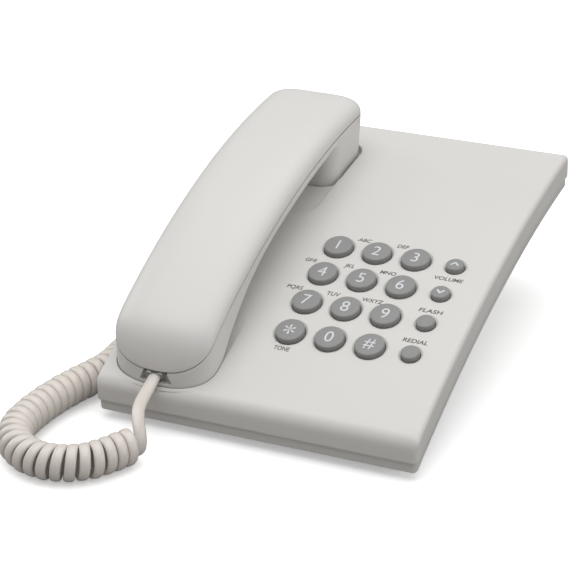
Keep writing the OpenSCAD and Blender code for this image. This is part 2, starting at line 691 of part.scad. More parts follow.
// places children at the handset's jack, with Y pointing into it
hs_jack_z = 25.5;
hs_jack_a = 30;        // tilt of the handset's jack
hs_jack_at = [hs_x, hs_y[0] + hs_wall + 0.3, hs_jack_z];
module at_hs_jack() { translate(hs_jack_at) rotate([hs_jack_a, 0, 0]) children(); }
mic_at = [hs_x - 11.9, -86];
mic_r = 4.05;
boot_r = 5;
floor_slope = atan((mouth_b[1] - mouth_a[1]) / (mouth_b[0] - mouth_a[0]));
function mouth_floor_z(y) = mouth_a[1] + (y - mouth_a[0]) * tan(floor_slope);
module at_mic() {
    translate([mic_at[0], mic_at[1], mouth_floor_z(mic_at[1])]) rotate([floor_slope, 0, 0]) children();
}
receiver_y = 60.5;
module at_receiver() { on_top(hs_x, receiver_y) translate([0, 0, -ear_depth + hs_wall]) children(); }
module handset_inner_shell() {
    color([0.82, 0.815, 0.80]) difference() {
        union() {
            difference() {
                inner_solid(0);
                inner_solid(hs_wall);
            }
            intersection() {
                inner_solid(0);
                at_hs_screws() translate([0, 0, -14]) cylinder(r = 4, h = 20);
            }
        }
        at_hs_screws() {
            translate([0, 0, -16]) cylinder(r = hs_screw_r + bore_gap, h = 20);
            translate([0, 0, -20]) cylinder(r = 2.8, h = 14);
        }
        // notch for the plug, wider towards the bottom
        translate([hs_x, hs_y[0] - 1, 0]) rotate([90, 0, 0]) translate([0, 0, -hs_wall - 1.5])
            linear_extrude(6) polygon([[-8.2, 21.4], [8.2, 21.4], [4.8, 27.2], [-4.8, 27.2]]);
        // pocket for the jack and its plug
        at_hs_jack() {
            translate([-jack[0] / 2 - 0.1, 0.2, -jack[2] / 2 - 0.1])
                cube([jack[0] + 0.2, jack[1] + 0.2, jack[2] + 0.2]);
            translate([-plug[0] / 2 - 0.1, -plug_out - 0.2, -plug[2] / 2 - 1])
                cube([plug[0] + 0.2, plug[1], plug[2] + 1.2]);
        }
        // sound holes
        at_receiver() translate([0, 0, -5]) {
            cylinder(r = 1, h = 8, $fn = 24);
            for (a = [0:60:300]) rotate(a) translate([5, 0, 0]) cylinder(r = 1, h = 8, $fn = 24);
        }
        at_mic() for (x = [-3, 0, 3]) translate([x, 0, -3]) cylinder(r = 0.8, h = 8, $fn = 24);
    }
}
module receiver_ring() {
    color([0.2, 0.2, 0.2]) at_receiver() translate([0, 0, 0.4]) difference() {
        cylinder(r = 15.5, h = 1.5);
        translate([0, 0, -1]) cylinder(r = 12, h = 4);
    }
}
module receiver() {
    color([0.25, 0.25, 0.27]) at_receiver() translate([0, 0, 2]) {
        cylinder(r = 15, h = 3);
        translate([0, 0, 2.9]) cylinder(r = 11, h = 4);
    }
}
module microphone_boot() {
    color([0.2, 0.2, 0.2]) at_mic() translate([0, 0, hs_wall + 0.3]) difference() {
        cylinder(r = boot_r, h = 4.5);
        translate([0, 0, 1]) cylinder(r = mic_r + bore_gap, h = 8);
        translate([0, 0, -1]) cylinder(r = 1.5, h = 3);
    }
}
module microphone() {
    color([0.7, 0.7, 0.7]) at_mic() translate([0, 0, hs_wall + 0.3 + 1 + eps]) difference() {
        cylinder(r = mic_r, h = 3.2);
        translate([0, 0, -0.5]) cylinder(r = 1, h = 1);
    }
}
weight = [24, 46, 5];
module handset_weight() {
    color([0.55, 0.56, 0.58]) on_handset(hs_x, 8)
        translate([-weight[0] / 2, -weight[1] / 2, -grip_d + hs_wall + 0.1]) cube(weight);
}
module handset_jack() {
    color([0.14, 0.14, 0.15]) at_hs_jack() translate([0, 0.3, 0]) jack_solid(plug[0], plug[2]);
}
module cord_plug_handset() { color([0.85, 0.85, 0.8]) at_hs_jack() plug_solid(); }
module handset_screws() {
    color([0.6, 0.6, 0.62]) at_hs_screws() difference() {
        union() {
            translate([0, 0, -6 - 1.8]) cylinder(r = 2.5, h = 1.8 - eps);
            translate([0, 0, -7]) cylinder(r = hs_screw_r, h = 11.5);
        }
        translate([0, 0, -8]) for (a = [0, 90]) rotate(a) cube([2.8, 0.6, 2], center = true);
    }
}

// ---- cord: two plain tails and the envelope of the coil, which lies on the table ----
coil_z = coil_d / 2 + 0.1;
bend_c = [-71.5, -126.5];
bend_r = 25;
side_x = -base_w / 2 - coil_d / 2 - 0.6;
start_a = -30;
lead_in = 17.5;
lean_r = 108;
lean_a = 20;
back_r = 30;
coil_end_y = -34;
function at_table(p) = [p[0], p[1], coil_z];
function arc_points(c, r, a0, a1, n) = [for (i = [0:n]) let(a = a0 + (a1 - a0) * i / n)
    at_table([c[0] + r * cos(a), c[1] + r * sin(a)])];
function curve_point(p, t) = pow(1 - t, 3) * p[0] + 3 * pow(1 - t, 2) * t * p[1]
    + 3 * (1 - t) * t * t * p[2] + pow(t, 3) * p[3];
function curve_points(p, n) = [for (i = [0:n]) curve_point(p, i / n)];
coil_start = bend_c + bend_r * [cos(start_a), sin(start_a)] + lead_in * [-sin(start_a), cos(start_a)];
lean_c = bend_c + [-bend_r + lean_r, 0];
lean_end = lean_c + lean_r * [-cos(lean_a), sin(lean_a)];
lean_run = (side_x - lean_end[0] - back_r * (1 - cos(lean_a))) / sin(lean_a);
back_start = lean_end + lean_run * [sin(lean_a), cos(lean_a)];
back_c = back_start + back_r * [-cos(lean_a), sin(lean_a)];
start_dir = [-sin(start_a), cos(start_a), 0];
module coiled_cord() {
    plug_a = yawed_point(hs_jack_at - 3.2 * [0, cos(hs_jack_a), sin(hs_jack_a)]);
    plug_slope = arc_slope(seam_c, seam_r, cord_jack_y);
    plug_b = [-base_w / 2 - plug_out + 0.8, cord_jack_y - jack_z * sin(plug_slope),
        seam_z(cord_jack_y) + jack_z * cos(plug_slope)];
    first = at_table(coil_start);
    tail_a = curve_points([plug_a + [0, 1.7, 1], plug_a + [0, -11, -6.4], first + 9 * start_dir + [0, 0, 4.5],
        first + [0, 0, 4]], 10);
    coil = concat([first], arc_points(bend_c, bend_r, start_a, -180, 24),
        arc_points(lean_c, lean_r, 180 - 1, 180 - lean_a, 5),
        arc_points(back_c, back_r, -lean_a, 0, 4), [at_table([side_x, coil_end_y])]);
    last = at_table([side_x, coil_end_y]);
    tail_b = curve_points([last + [0, 0.4, 3], last + [0, 12, 4], plug_b + [-14, 0, 0], plug_b], 12);
    points = concat(tail_a, coil, tail_b);
    radii = concat([for (p = tail_a) cord_d / 2], [for (p = coil) coil_d / 2], [for (p = tail_b) cord_d / 2]);
    color([0.83, 0.80, 0.77]) tube(points, radii);
}

upper_housing();
lower_housing();
desk_stand();
rubber_feet();
housing_screws();
main_board();
keypad_membrane();
for (i = [0:11]) dial_key(i);
for (j = [0:3]) fn_key(j);
hook_plunger();
hook_spring();
hook_switch();
ringer_sounder();
ringer_knob();
mode_knob();
slide_switches();
line_jack();
cord_jack();
handset_hook();
cord_plug_base();
coiled_cord();
yawed() cord_plug_handset();
yawed() handset_outer_shell();
yawed() handset_inner_shell();
yawed() receiver();
yawed() receiver_ring();
yawed() microphone();
yawed() microphone_boot();
yawed() handset_weight();
yawed() handset_jack();
yawed() handset_screws();
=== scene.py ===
import math

import bmesh
import bpy
import numpy as np
from mathutils import Matrix, Vector
from mathutils.geometry import delaunay_2d_cdt


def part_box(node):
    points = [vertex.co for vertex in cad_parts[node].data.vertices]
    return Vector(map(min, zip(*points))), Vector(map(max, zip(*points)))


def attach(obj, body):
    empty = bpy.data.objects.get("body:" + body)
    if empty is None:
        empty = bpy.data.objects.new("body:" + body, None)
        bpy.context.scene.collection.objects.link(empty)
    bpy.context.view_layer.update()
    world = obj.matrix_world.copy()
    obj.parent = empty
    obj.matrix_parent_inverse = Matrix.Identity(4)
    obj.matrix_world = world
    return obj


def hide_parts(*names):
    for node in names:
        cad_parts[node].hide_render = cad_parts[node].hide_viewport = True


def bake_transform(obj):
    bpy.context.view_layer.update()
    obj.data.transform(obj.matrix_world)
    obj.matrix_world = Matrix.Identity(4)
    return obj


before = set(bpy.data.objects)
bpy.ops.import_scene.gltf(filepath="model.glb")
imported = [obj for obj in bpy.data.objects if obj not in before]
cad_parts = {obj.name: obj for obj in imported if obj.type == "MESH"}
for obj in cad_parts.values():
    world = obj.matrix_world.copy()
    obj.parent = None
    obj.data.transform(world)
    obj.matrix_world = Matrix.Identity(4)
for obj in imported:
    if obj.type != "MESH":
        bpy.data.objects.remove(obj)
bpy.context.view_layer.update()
MM = 0.001             # lengths below are in millimetres until a mesh is made


def box_mm(node):
    lo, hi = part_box(node)
    return np.array(lo) / MM, np.array(hi) / MM


# ---------------------------------------------------------------- driving dimensions
base_lo, base_hi = box_mm("upper_housing")
BASE_W, BASE_D = base_hi[0] - base_lo[0], base_hi[1] - base_lo[1]
BASE_CORNER = 2.5
SIDE_ROLL, FRONT_ROLL, REAR_ROLL = 2.4, 7.0, 3.0
SEAM_TILT, SEAM_FRONT_Z = (23.24, 2.84), 9.0
TOP_TILT, TOP_FRONT_Z = (22.99, 3.24), 19.7
SHELL_T = 1.6          # thickness of the modelled plastic

COL_PITCH, ROW_PITCH, KEY_MID_X, KEY_ROW_Y, FN_COL_X = 18.57, 18.97, 18.57, -3.4, 55.72
KEY_R, FN_R, KEY_RISE = 6.5, 4.05, 1.94
KEY_NAMES = ["1", "2", "3", "4", "5", "6", "7", "8", "9", "star", "0", "hash"]
KEY_SIGNS = ["1", "2", "3", "4", "5", "6", "7", "8", "9", "*", "0", "#"]
KEY_LETTERS = ["", "ABC", "DEF", "GHI", "JKL", "MNO", "PQRS", "TUV", "WXYZ", "", "", ""]
FN_NAMES = ["volume_up", "volume_down", "flash", "redial"]

HS_W, HS_X, HS_Y = 47.9, -45.2, (-96.8, 79.6)
HS_YAW = math.radians(-1.2)          # the handset and its wells are laid out along Y, then turned
HS_PIVOT = (HS_X, (HS_Y[0] + HS_Y[1]) / 2)
HS_ARC = (81.7, -256.1, 340.0)
MOUTH_L, EAR_L = 14.0, 10.5           # length of the rounded ends in plan
MOUTH_P, EAR_P = (2.5, 2.5), (4.8, 2.15)   # exponents of their outlines, across and along
CROWN = (7.9, 8.3, 7.7)              # height of the back above the seam: mouth, middle, ear
SECTION_P, SECTION_Q = (3.2, 5.0), 2.2   # exponents of the back's section: mouth and ear; height
GRIP_D = 4.0
NECK_Y, NECK_R = -28.0, 120.0
EAR_FRONT_Y, EAR_FILLET = 41.5, 6.0
DRAFT = 0.085          # how much the handset narrows on each side per unit of depth under its seam
CUP_CORNER = 8.0       # plan radius of the ear cup's front corners
WELL_GAP, MOUTH_GAP, EAR_DEPTH, MOUTH_DEPTH = 1.2, (0.15, 0.55), 4.5, 2.0
MOUTH_WELL_Y = (HS_Y[0] - 1.1, -54.0)
PLUNGER_Y, TAB_Y = 68.0, 88.0

COIL_R, CORD_W, CORD_T = 8.0, 4.7, 2.9
COIL_Z = 8.1


# ---------------------------------------------------------------- arcs of the side view
class Arc:
    def __init__(self, y, z, r):
        self.y, self.c, self.r = y, z, r

    def z(self, y):
        return self.c + np.sqrt(self.r ** 2 - (y - self.y) ** 2)

    def slope(self, y):
        return np.arcsin((self.y - y) / self.r)

    def moved_in(self, d):
        return Arc(self.y, self.c, self.r - d)


def base_arc(tilt, z_front):
    s = [math.sin(math.radians(t)) for t in tilt]
    r = BASE_D / (s[0] - s[1])
    return Arc(-BASE_D / 2 + r * s[0], z_front - r * math.cos(math.radians(tilt[0])), r)


top = base_arc(TOP_TILT, TOP_FRONT_Z)
seam = base_arc(SEAM_TILT, SEAM_FRONT_Z)
hs_seam = Arc(*HS_ARC)


def turned(points):
    """Points laid out along Y, turned to the handset's place in plan."""
    p = np.array(points, float)
    dx, dy = p[:, 0] - HS_PIVOT[0], p[:, 1] - HS_PIVOT[1]
    c, s = math.cos(HS_YAW), math.sin(HS_YAW)
    p[:, 0], p[:, 1] = HS_PIVOT[0] + dx * c - dy * s, HS_PIVOT[1] + dx * s + dy * c
    return p


def turned_loop(loop):
    """An outline and its normals, turned with the handset."""
    points, normals = loop
    pivot = np.array(HS_PIVOT)
    return turned(points), turned(normals + pivot) - pivot


def layout_y(x, y):
    """Y of a place before the handset's turn."""
    return HS_PIVOT[1] - (x - HS_PIVOT[0]) * math.sin(HS_YAW) + (y - HS_PIVOT[1]) * math.cos(HS_YAW)


def smooth(t):
    t = np.clip(t, 0, 1)
    return t * t * (3 - 2 * t)


# ---------------------------------------------------------------- mesh helpers
def make(name, verts, faces, materials=(), face_mats=None, shade=True):
    """A mesh object from millimetre points. Faces may be triangles or quads."""
    mesh = bpy.data.meshes.new(name)
    mesh.from_pydata([tuple(float(c) * MM for c in v) for v in verts], [], [tuple(f) for f in faces])
    obj = bpy.data.objects.new(name, mesh)
    bpy.context.scene.collection.objects.link(obj)
    for m in materials:
        mesh.materials.append(m)
    if face_mats is not None:
        mesh.polygons.foreach_set("material_index", face_mats)
    tidy_mesh(obj, shade)
    return obj


def tidy_mesh(obj, shade=True, merge=1e-6):
    bm = bmesh.new()
    bm.from_mesh(obj.data)
    bmesh.ops.remove_doubles(bm, verts=bm.verts, dist=merge)
    bmesh.ops.dissolve_degenerate(bm, edges=bm.edges, dist=1e-7)
    bmesh.ops.recalc_face_normals(bm, faces=bm.faces)
    bm.to_mesh(obj.data)
    bm.free()
    obj.data.polygons.foreach_set("use_smooth", [shade] * len(obj.data.polygons))
    obj.data.update()


def apply_modifiers(obj):
    dg = bpy.context.evaluated_depsgraph_get()
    done = bpy.data.meshes.new_from_object(obj.evaluated_get(dg), depsgraph=dg)
    old = obj.data
    obj.modifiers.clear()
    obj.data = done
    bpy.data.meshes.remove(old)


def thicken(obj, t):
    m = obj.modifiers.new("wall", "SOLIDIFY")
    m.thickness, m.offset, m.use_rim, m.use_even_offset = t * MM, -1, True, False
    apply_modifiers(obj)


def cut(obj, cutter):
    """Removes cutter's volume from obj and deletes cutter."""
    m = obj.modifiers.new("cut", "BOOLEAN")
    m.operation, m.solver, m.object = "DIFFERENCE", "EXACT", cutter
    bpy.context.view_layer.update()
    apply_modifiers(obj)
    bpy.data.objects.remove(cutter)


def close_gaps(obj):
    """Closes small open loops that a cut left at pinched points."""
    bm = bmesh.new()
    bm.from_mesh(obj.data)
    bmesh.ops.remove_doubles(bm, verts=bm.verts, dist=2e-6)
    bmesh.ops.holes_fill(bm, edges=[e for e in bm.edges if e.is_boundary], sides=0)
    bmesh.ops.dissolve_degenerate(bm, edges=bm.edges, dist=1e-7)
    bm.to_mesh(obj.data)
    bm.free()
    obj.data.update()


def smooth_by_angle(obj, degrees=35):
    """Keeps edges sharper than the angle crisp and shades the rest smoothly."""
    bm = bmesh.new()
    bm.from_mesh(obj.data)
    limit = math.radians(degrees)
    for e in bm.edges:
        e.smooth = not (len(e.link_faces) == 2 and e.calc_face_angle(0) > limit)
    for f in bm.faces:
        f.smooth = True
    bm.to_mesh(obj.data)
    bm.free()


def strip(rings, closed=True):
    """Quads between equal-length rings; ring k holds indices."""
    faces = []
    for a, b in zip(rings[:-1], rings[1:]):
        n = len(a)
        for i in range(n if closed else n - 1):
            j = (i + 1) % n
            faces.append((a[i], a[j], b[j], b[i]))
    return faces


class Surface:
    """Collects points and faces of one skin."""

    def __init__(self):
        self.v, self.f = [], []

    def add(self, points):
        start = len(self.v)
        self.v.extend([tuple(p) for p in points])
        return list(range(start, len(self.v)))

    def rings(self, rings):
        ids = [self.add(r) for r in rings]
        self.f.extend(strip(ids))
        return ids


def inside(points, loop):
    """Which points lie in a closed loop, both in plan."""
    x, y = points[:, 0], points[:, 1]
    result = np.zeros(len(points), bool)
    a, b = loop, np.roll(loop, -1, 0)
    for (x0, y0), (x1, y1) in zip(a, b):
        hit = (y0 > y) != (y1 > y)
        if hit.any():
            cross_x = x0 + (y - y0) * (x1 - x0) / (y1 - y0 + 1e-30)
            result ^= hit & (x < cross_x)
    return result


def fill(surface, outer, holes, z_of, extra, clear):
    """Triangles between the outer ring and the holes (rings of indices), over the height z_of(x, y)."""
    points = np.array(surface.v)
    loops = [outer] + holes
    plan = [points[ids][:, :2] for ids in loops]
    edge_points = np.vstack(plan)
    keep = inside(extra, plan[0])
    for loop in plan[1:]:
        keep &= ~inside(extra, loop)
    extra = extra[keep]
    for block in np.array_split(edge_points, 8):
        d = np.sqrt(((extra[:, None] - block[None]) ** 2).sum(2)).min(1)
        extra = extra[d > clear]
    ids = [i for loop in loops for i in loop]
    ids += surface.add([(x, y, z) for (x, y), z in zip(extra, z_of(extra[:, 0], extra[:, 1]))])
    flat = [Vector((float(x), float(y))) for x, y in np.vstack([edge_points, extra])]
    edges, start = [], 0
    for loop in loops:
        n = len(loop)
        edges += [(start + i, start + (i + 1) % n) for i in range(n)]
        start += n
    out, _, tris, source, _, _ = delaunay_2d_cdt(flat, edges, [], 0, 1e-6)
    out = np.array([tuple(p) for p in out])
    centres = np.array([out[list(t)].mean(0) for t in tris])
    good = inside(centres, plan[0])
    for loop in plan[1:]:
        good &= ~inside(centres, loop)
    for t, ok in zip(tris, good):
        if ok:
            surface.f.append(tuple(ids[source[i][0]] for i in t))


def rounded_loop(corners, step):
    """Closed outline through corners (x, y, radius), counter-clockwise: points and outward normals."""
    points, normals = [], []
    n = len(corners)
    for i in range(n):
        p = np.array(corners[i][:2], float)
        a = np.array(corners[i - 1][:2], float)
        b = np.array(corners[(i + 1) % n][:2], float)
        r = corners[i][2]
        u, w = (a - p) / np.linalg.norm(a - p), (b - p) / np.linalg.norm(b - p)
        half = math.acos(np.clip(u @ w, -1, 1)) / 2
        run = r / math.tan(half)
        c = p + (u + w) / np.linalg.norm(u + w) * r / math.sin(half)
        start, end = p + u * run - c, p + w * run - c
        a0, a1 = math.atan2(start[1], start[0]), math.atan2(end[1], end[0])
        turn = (a1 - a0 + math.pi) % (2 * math.pi) - math.pi
        side = 1 if turn > 0 else -1
        k = max(4, int(abs(turn) * r / step) + 1)
        for j in range(k + 1):
            t = a0 + turn * j / k
            d = np.array([math.cos(t), math.sin(t)])
            points.append(c + r * d)
            normals.append(side * d)
    full_p, full_n = [], []
    for i in range(len(points)):
        p, q = points[i], points[(i + 1) % len(points)]
        m, o = normals[i], normals[(i + 1) % len(points)]
        k = max(1, int(np.linalg.norm(q - p) / step))
        for j in range(k):
            t = j / k
            full_p.append(p + (q - p) * t)
            full_n.append(m + (o - m) * t)
    full_n = [v / np.linalg.norm(v) for v in full_n]
    return np.array(full_p), np.array(full_n)


def grid_points(x0, x1, y0, y1, step):
    xs = np.arange(x0, x1, step)
    ys = np.arange(y0, y1, step * 0.87)
    return np.array([(x + (step / 2 if j % 2 else 0), y) for j, y in enumerate(ys) for x in xs])


def rim_profile(r_top, r_bottom, steps=5):
    """Offsets and depths of a wall of unit depth 1: rounded over at the top and into the floor."""
    rows = []
    for k in range(steps + 1):
        a = math.pi / 2 * k / steps
        rows.append(("top", 1 - math.sin(a), 1 - math.cos(a)))
    for k in range(steps + 1):
        a = math.pi / 2 * k / steps
        rows.append(("bottom", 1 - math.cos(a), math.sin(a)))
    return [(kind, o * (r_top if kind == "top" else -r_bottom), d) for kind, o, d in rows]


def well_rings(points, normals, base_z, depth, r_top, r_bottom):
    """Rings of a well's wall: the first lies on the surface, the last on its floor."""
    d = depth(points[:, 0], points[:, 1])
    rt = np.minimum(r_top, d * 0.45)
    rb = np.minimum(r_bottom, d * 0.45)
    rings = []
    for kind, o, share in rim_profile(1, 1):
        r = rt if kind == "top" else rb
        flat = points + normals * (o * np.maximum(r, 0.12))[:, None]
        down = r * share if kind == "top" else d - rb + rb * share
        z = base_z(flat[:, 0], flat[:, 1]) - down
        rings.append(np.column_stack([flat, z]))
    return rings


# ---------------------------------------------------------------- materials
def mat(name, colour, rough=0.4, grain=(900, 0.02), mottle=0.03, wear=0.0, coat=0.0, metal=0.0,
        alpha=1.0, bevel=0.0, speck=0.0, transmission=0.0):
    """Moulded plastic, rubber or metal: mottled colour, fine surface grain, uneven roughness, worn edges."""
    m = bpy.data.materials.new(name)
    m.use_nodes = True
    nt = m.node_tree
    b = nt.nodes["Principled BSDF"]

    def node(kind, **values):
        n = nt.nodes.new(kind)
        for k, v in values.items():
            setattr(n, k, v)
        return n

    coord = node("ShaderNodeTexCoord")
    big = node("ShaderNodeTexNoise")
    big.inputs["Scale"].default_value = 28
    big.inputs["Detail"].default_value = 4
    fine = node("ShaderNodeTexNoise")
    fine.inputs["Scale"].default_value = grain[0]
    fine.inputs["Detail"].default_value = 3
    cells = node("ShaderNodeTexVoronoi")
    cells.inputs["Scale"].default_value = grain[0] * 0.6
    for t in (big, fine, cells):
        nt.links.new(coord.outputs["Object"], t.inputs["Vector"])
    # colour: two close tones, with light or dark flecks
    tone = node("ShaderNodeMix", data_type="RGBA")
    lighter = [min(1, c * (1 + mottle)) for c in colour]
    darker = [c * (1 - mottle) for c in colour]
    tone.inputs[6].default_value = (*darker, 1)
    tone.inputs[7].default_value = (*lighter, 1)
    nt.links.new(big.outputs["Fac"], tone.inputs[0])
    last = tone.outputs[2]
    if speck:
        ramp = node("ShaderNodeValToRGB")
        ramp.color_ramp.elements[0].position = 0.62
        ramp.color_ramp.elements[1].position = 0.72
        nt.links.new(fine.outputs["Fac"], ramp.inputs[0])
        fleck = node("ShaderNodeMix", data_type="RGBA")
        fleck.inputs[7].default_value = (*[c * (1 - speck) for c in colour], 1)
        nt.links.new(ramp.outputs["Color"], fleck.inputs[0])
        nt.links.new(last, fleck.inputs[6])
        last = fleck.outputs[2]
    if wear:
        geometry = node("ShaderNodeNewGeometry")
        edge = node("ShaderNodeValToRGB")
        edge.color_ramp.elements[0].position = 0.52
        edge.color_ramp.elements[1].position = 0.62
        nt.links.new(geometry.outputs["Pointiness"], edge.inputs[0])
        broken = node("ShaderNodeMath", operation="MULTIPLY")
        nt.links.new(edge.outputs["Color"], broken.inputs[0])
        nt.links.new(big.outputs["Fac"], broken.inputs[1])
        worn = node("ShaderNodeMix", data_type="RGBA")
        worn.inputs[7].default_value = (*[min(1, c * (1 + wear) + wear * 0.03) for c in colour], 1)
        nt.links.new(broken.outputs[0], worn.inputs[0])
        nt.links.new(last, worn.inputs[6])
        last = worn.outputs[2]
    nt.links.new(last, b.inputs["Base Color"])
    # roughness varies with the same large noise
    spread = node("ShaderNodeMapRange")
    spread.inputs["To Min"].default_value = max(0.02, rough - 0.05)
    spread.inputs["To Max"].default_value = min(1, rough + 0.07)
    nt.links.new(big.outputs["Fac"], spread.inputs["Value"])
    nt.links.new(spread.outputs["Result"], b.inputs["Roughness"])
    # fine moulded texture
    height = node("ShaderNodeMath", operation="ADD")
    nt.links.new(fine.outputs["Fac"], height.inputs[0])
    nt.links.new(cells.outputs["Distance"], height.inputs[1])
    bump = node("ShaderNodeBump")
    bump.inputs["Strength"].default_value = grain[1] * 10
    bump.inputs["Distance"].default_value = 0.00002
    nt.links.new(height.outputs[0], bump.inputs["Height"])
    if bevel:
        soft = node("ShaderNodeBevel", samples=4)
        soft.inputs["Radius"].default_value = bevel * MM
        nt.links.new(soft.outputs["Normal"], bump.inputs["Normal"])
    nt.links.new(bump.outputs["Normal"], b.inputs["Normal"])
    b.inputs["Metallic"].default_value = metal
    b.inputs["Coat Weight"].default_value = coat
    b.inputs["Coat Roughness"].default_value = 0.12
    b.inputs["Transmission Weight"].default_value = transmission
    b.inputs["IOR"].default_value = 1.49
    m.diffuse_color = (*colour, 1)
    return m


housing_mat = mat("housing_plastic", (0.66, 0.645, 0.62), 0.38, (1400, 0.05), 0.012, 0.05)
lower_mat = mat("lower_plastic", (0.60, 0.585, 0.56), 0.45, (1100, 0.08), 0.015, 0.04, bevel=0.3)
handset_mat = mat("handset_plastic", (0.67, 0.655, 0.635), 0.34, (1500, 0.04), 0.012, 0.05)
key_mat = mat("key_plastic", (0.255, 0.253, 0.25), 0.42, (1600, 0.07), 0.03, 0.10)
legend_mat = mat("key_legend", (0.66, 0.68, 0.71), 0.4, (1800, 0.03), 0.03)
print_mat = mat("printed_letters", (0.11, 0.105, 0.10), 0.55, (2500, 0.05), 0.10)
cord_mat = mat("cord_jacket", (0.70, 0.65, 0.60), 0.24, (700, 0.03), 0.03, coat=0.35)
plug_mat = mat("clear_plug", (0.85, 0.86, 0.85), 0.12, (900, 0.03), 0.03, transmission=0.75, bevel=0.15)
black_mat = mat("black_plastic", (0.022, 0.022, 0.024), 0.42, (1300, 0.08), 0.2, 0.15, bevel=0.15)
inner_mat = mat("inner_plastic", (0.52, 0.515, 0.49), 0.5, (1200, 0.08), 0.03, 0.05, bevel=0.2)
knob_mat = mat("knob_plastic", (0.25, 0.25, 0.25), 0.45, (1500, 0.08), 0.06, 0.15, bevel=0.2)
rubber_mat = mat("rubber", (0.035, 0.035, 0.036), 0.82, (1900, 0.2), 0.25, 0.1, bevel=0.2)
membrane_mat = mat("silicone", (0.45, 0.46, 0.45), 0.6, (900, 0.1), 0.05, bevel=0.2)
steel_mat = mat("steel", (0.55, 0.55, 0.56), 0.32, (2200, 0.12), 0.06, 0.1, metal=1.0, bevel=0.1)
board_mat = mat("board", (0.02, 0.13, 0.055), 0.35, (1700, 0.1), 0.15, 0.1, speck=0.4, bevel=0.1)


# ---------------------------------------------------------------- upper housing
def base_outline(step):
    c = BASE_CORNER
    hw, hd = BASE_W / 2, BASE_D / 2
    return rounded_loop([(-hw, -hd, c), (hw, -hd, c), (hw, hd, c), (-hw, hd, c)], step)


def roll_drop(d, r, fall):
    """How far the rolled edge lies under the plain top surface, d inside the outline."""
    reach = r * (1 - np.sin(fall))
    arc = np.sqrt(np.maximum(r ** 2 - (r - np.minimum(d, r)) ** 2, 0))
    drop = (d - reach) * np.tan(fall) + r * np.cos(fall) - arc
    return np.where(d < reach, drop, 0)


def edge_distance(x, y):
    """Distance inside the base's outline, and the share of the side edges in it."""
    qx, qy = np.abs(x) - (BASE_W / 2 - BASE_CORNER), np.abs(y) - (BASE_D / 2 - BASE_CORNER)
    corner = (qx > 0) & (qy > 0)
    dist = np.hypot(qx, qy) + 1e-12
    side = np.where(corner, (qx / dist) ** 2, np.where(qx > qy, 1.0, 0.0))
    return BASE_CORNER - np.where(corner, dist, np.maximum(qx, qy)), side


def top_height(x, y):
    """Height of the base's top skin, with its rolled edges but without the wells."""
    x, y = np.asarray(x, float), np.asarray(y, float)
    d, side = edge_distance(x, y)
    front = y < 0
    r = np.where(front, FRONT_ROLL, REAR_ROLL)
    fall = np.where(front, top.slope(-BASE_D / 2), -top.slope(BASE_D / 2))
    end_drop = roll_drop(np.maximum(BASE_D / 2 - np.abs(y), 0), r, fall)
    return top.z(y) - end_drop - roll_drop(np.maximum(d, 0), SIDE_ROLL * side + 0.4 * (1 - side), 0.0)


def next_row(y):
    return y - ROW_PITCH * math.cos(top.slope(y - ROW_PITCH / 2))


row_y = [KEY_ROW_Y]
for _ in range(3):
    row_y.append(next_row(row_y[-1]))
key_places = [(KEY_MID_X + (i % 3 - 1) * COL_PITCH, row_y[i // 3]) for i in range(12)]
fn_places = [(FN_COL_X, y) for y in row_y]


def on_top(x, y, points):
    """Local points (across, along, up) at a place on the top surface."""
    p = np.asarray(points, float)
    s = float(top.slope(y))
    return np.column_stack([x + p[:, 0], y + p[:, 1] * math.cos(s) - p[:, 2] * math.sin(s),
                            top.z(y) + p[:, 1] * math.sin(s) + p[:, 2] * math.cos(s)])


def circle(r, n, up):
    """Circle of radius r; up is its height, or None to lie on the curved top."""
    a = np.arange(n) * 2 * math.pi / n
    across, along = r * np.cos(a), r * np.sin(a)
    height = -along ** 2 / (2 * top.r) if up is None else np.full(n, float(up))
    return np.column_stack([across, along, height])


def key_hole_rings(x, y, r, n):
    """Rounded rim, bright chamfer and bore of a key hole."""
    rim, bore = r + 1.35, r + 0.28
    profile = [(rim + 0.18, None), (rim, -0.03), (rim - 0.14, -0.11), (bore + 0.28, -0.62), (bore + 0.09, -0.78),
               (bore, -0.98), (bore, -2.2), (bore, -3.4)]
    return [on_top(x, y, circle(a, n, up)) for a, up in profile]


EAR_INSET = 1.5 - WELL_GAP          # the cup has narrowed this much more than the gap where it enters the well
ear_x = (HS_X - HS_W / 2 + EAR_INSET, HS_X + HS_W / 2 - EAR_INSET)
EAR_BACK_Y = HS_Y[1] + WELL_GAP - 0.3
SCOOP_X, SCOOP_Y, SCOOP_R = (HS_X - HS_W / 2 + 1.0, HS_X + HS_W / 2 - 0.65), (13.3, 62.0), 13.7
SCOOP_DEPTH = (0.25, 1.5)            # at its front and at the ear well


def line_z(y, ya, da, yb, db):
    """Height of a straight floor between two depths under the top surface."""
    za, zb = top.z(ya) - da, top.z(yb) - db
    return za + (zb - za) * (y - ya) / (yb - ya)


def layout_x(x, y):
    return HS_PIVOT[0] + (x - HS_PIVOT[0]) * math.cos(HS_YAW) + (y - HS_PIVOT[1]) * math.sin(HS_YAW)


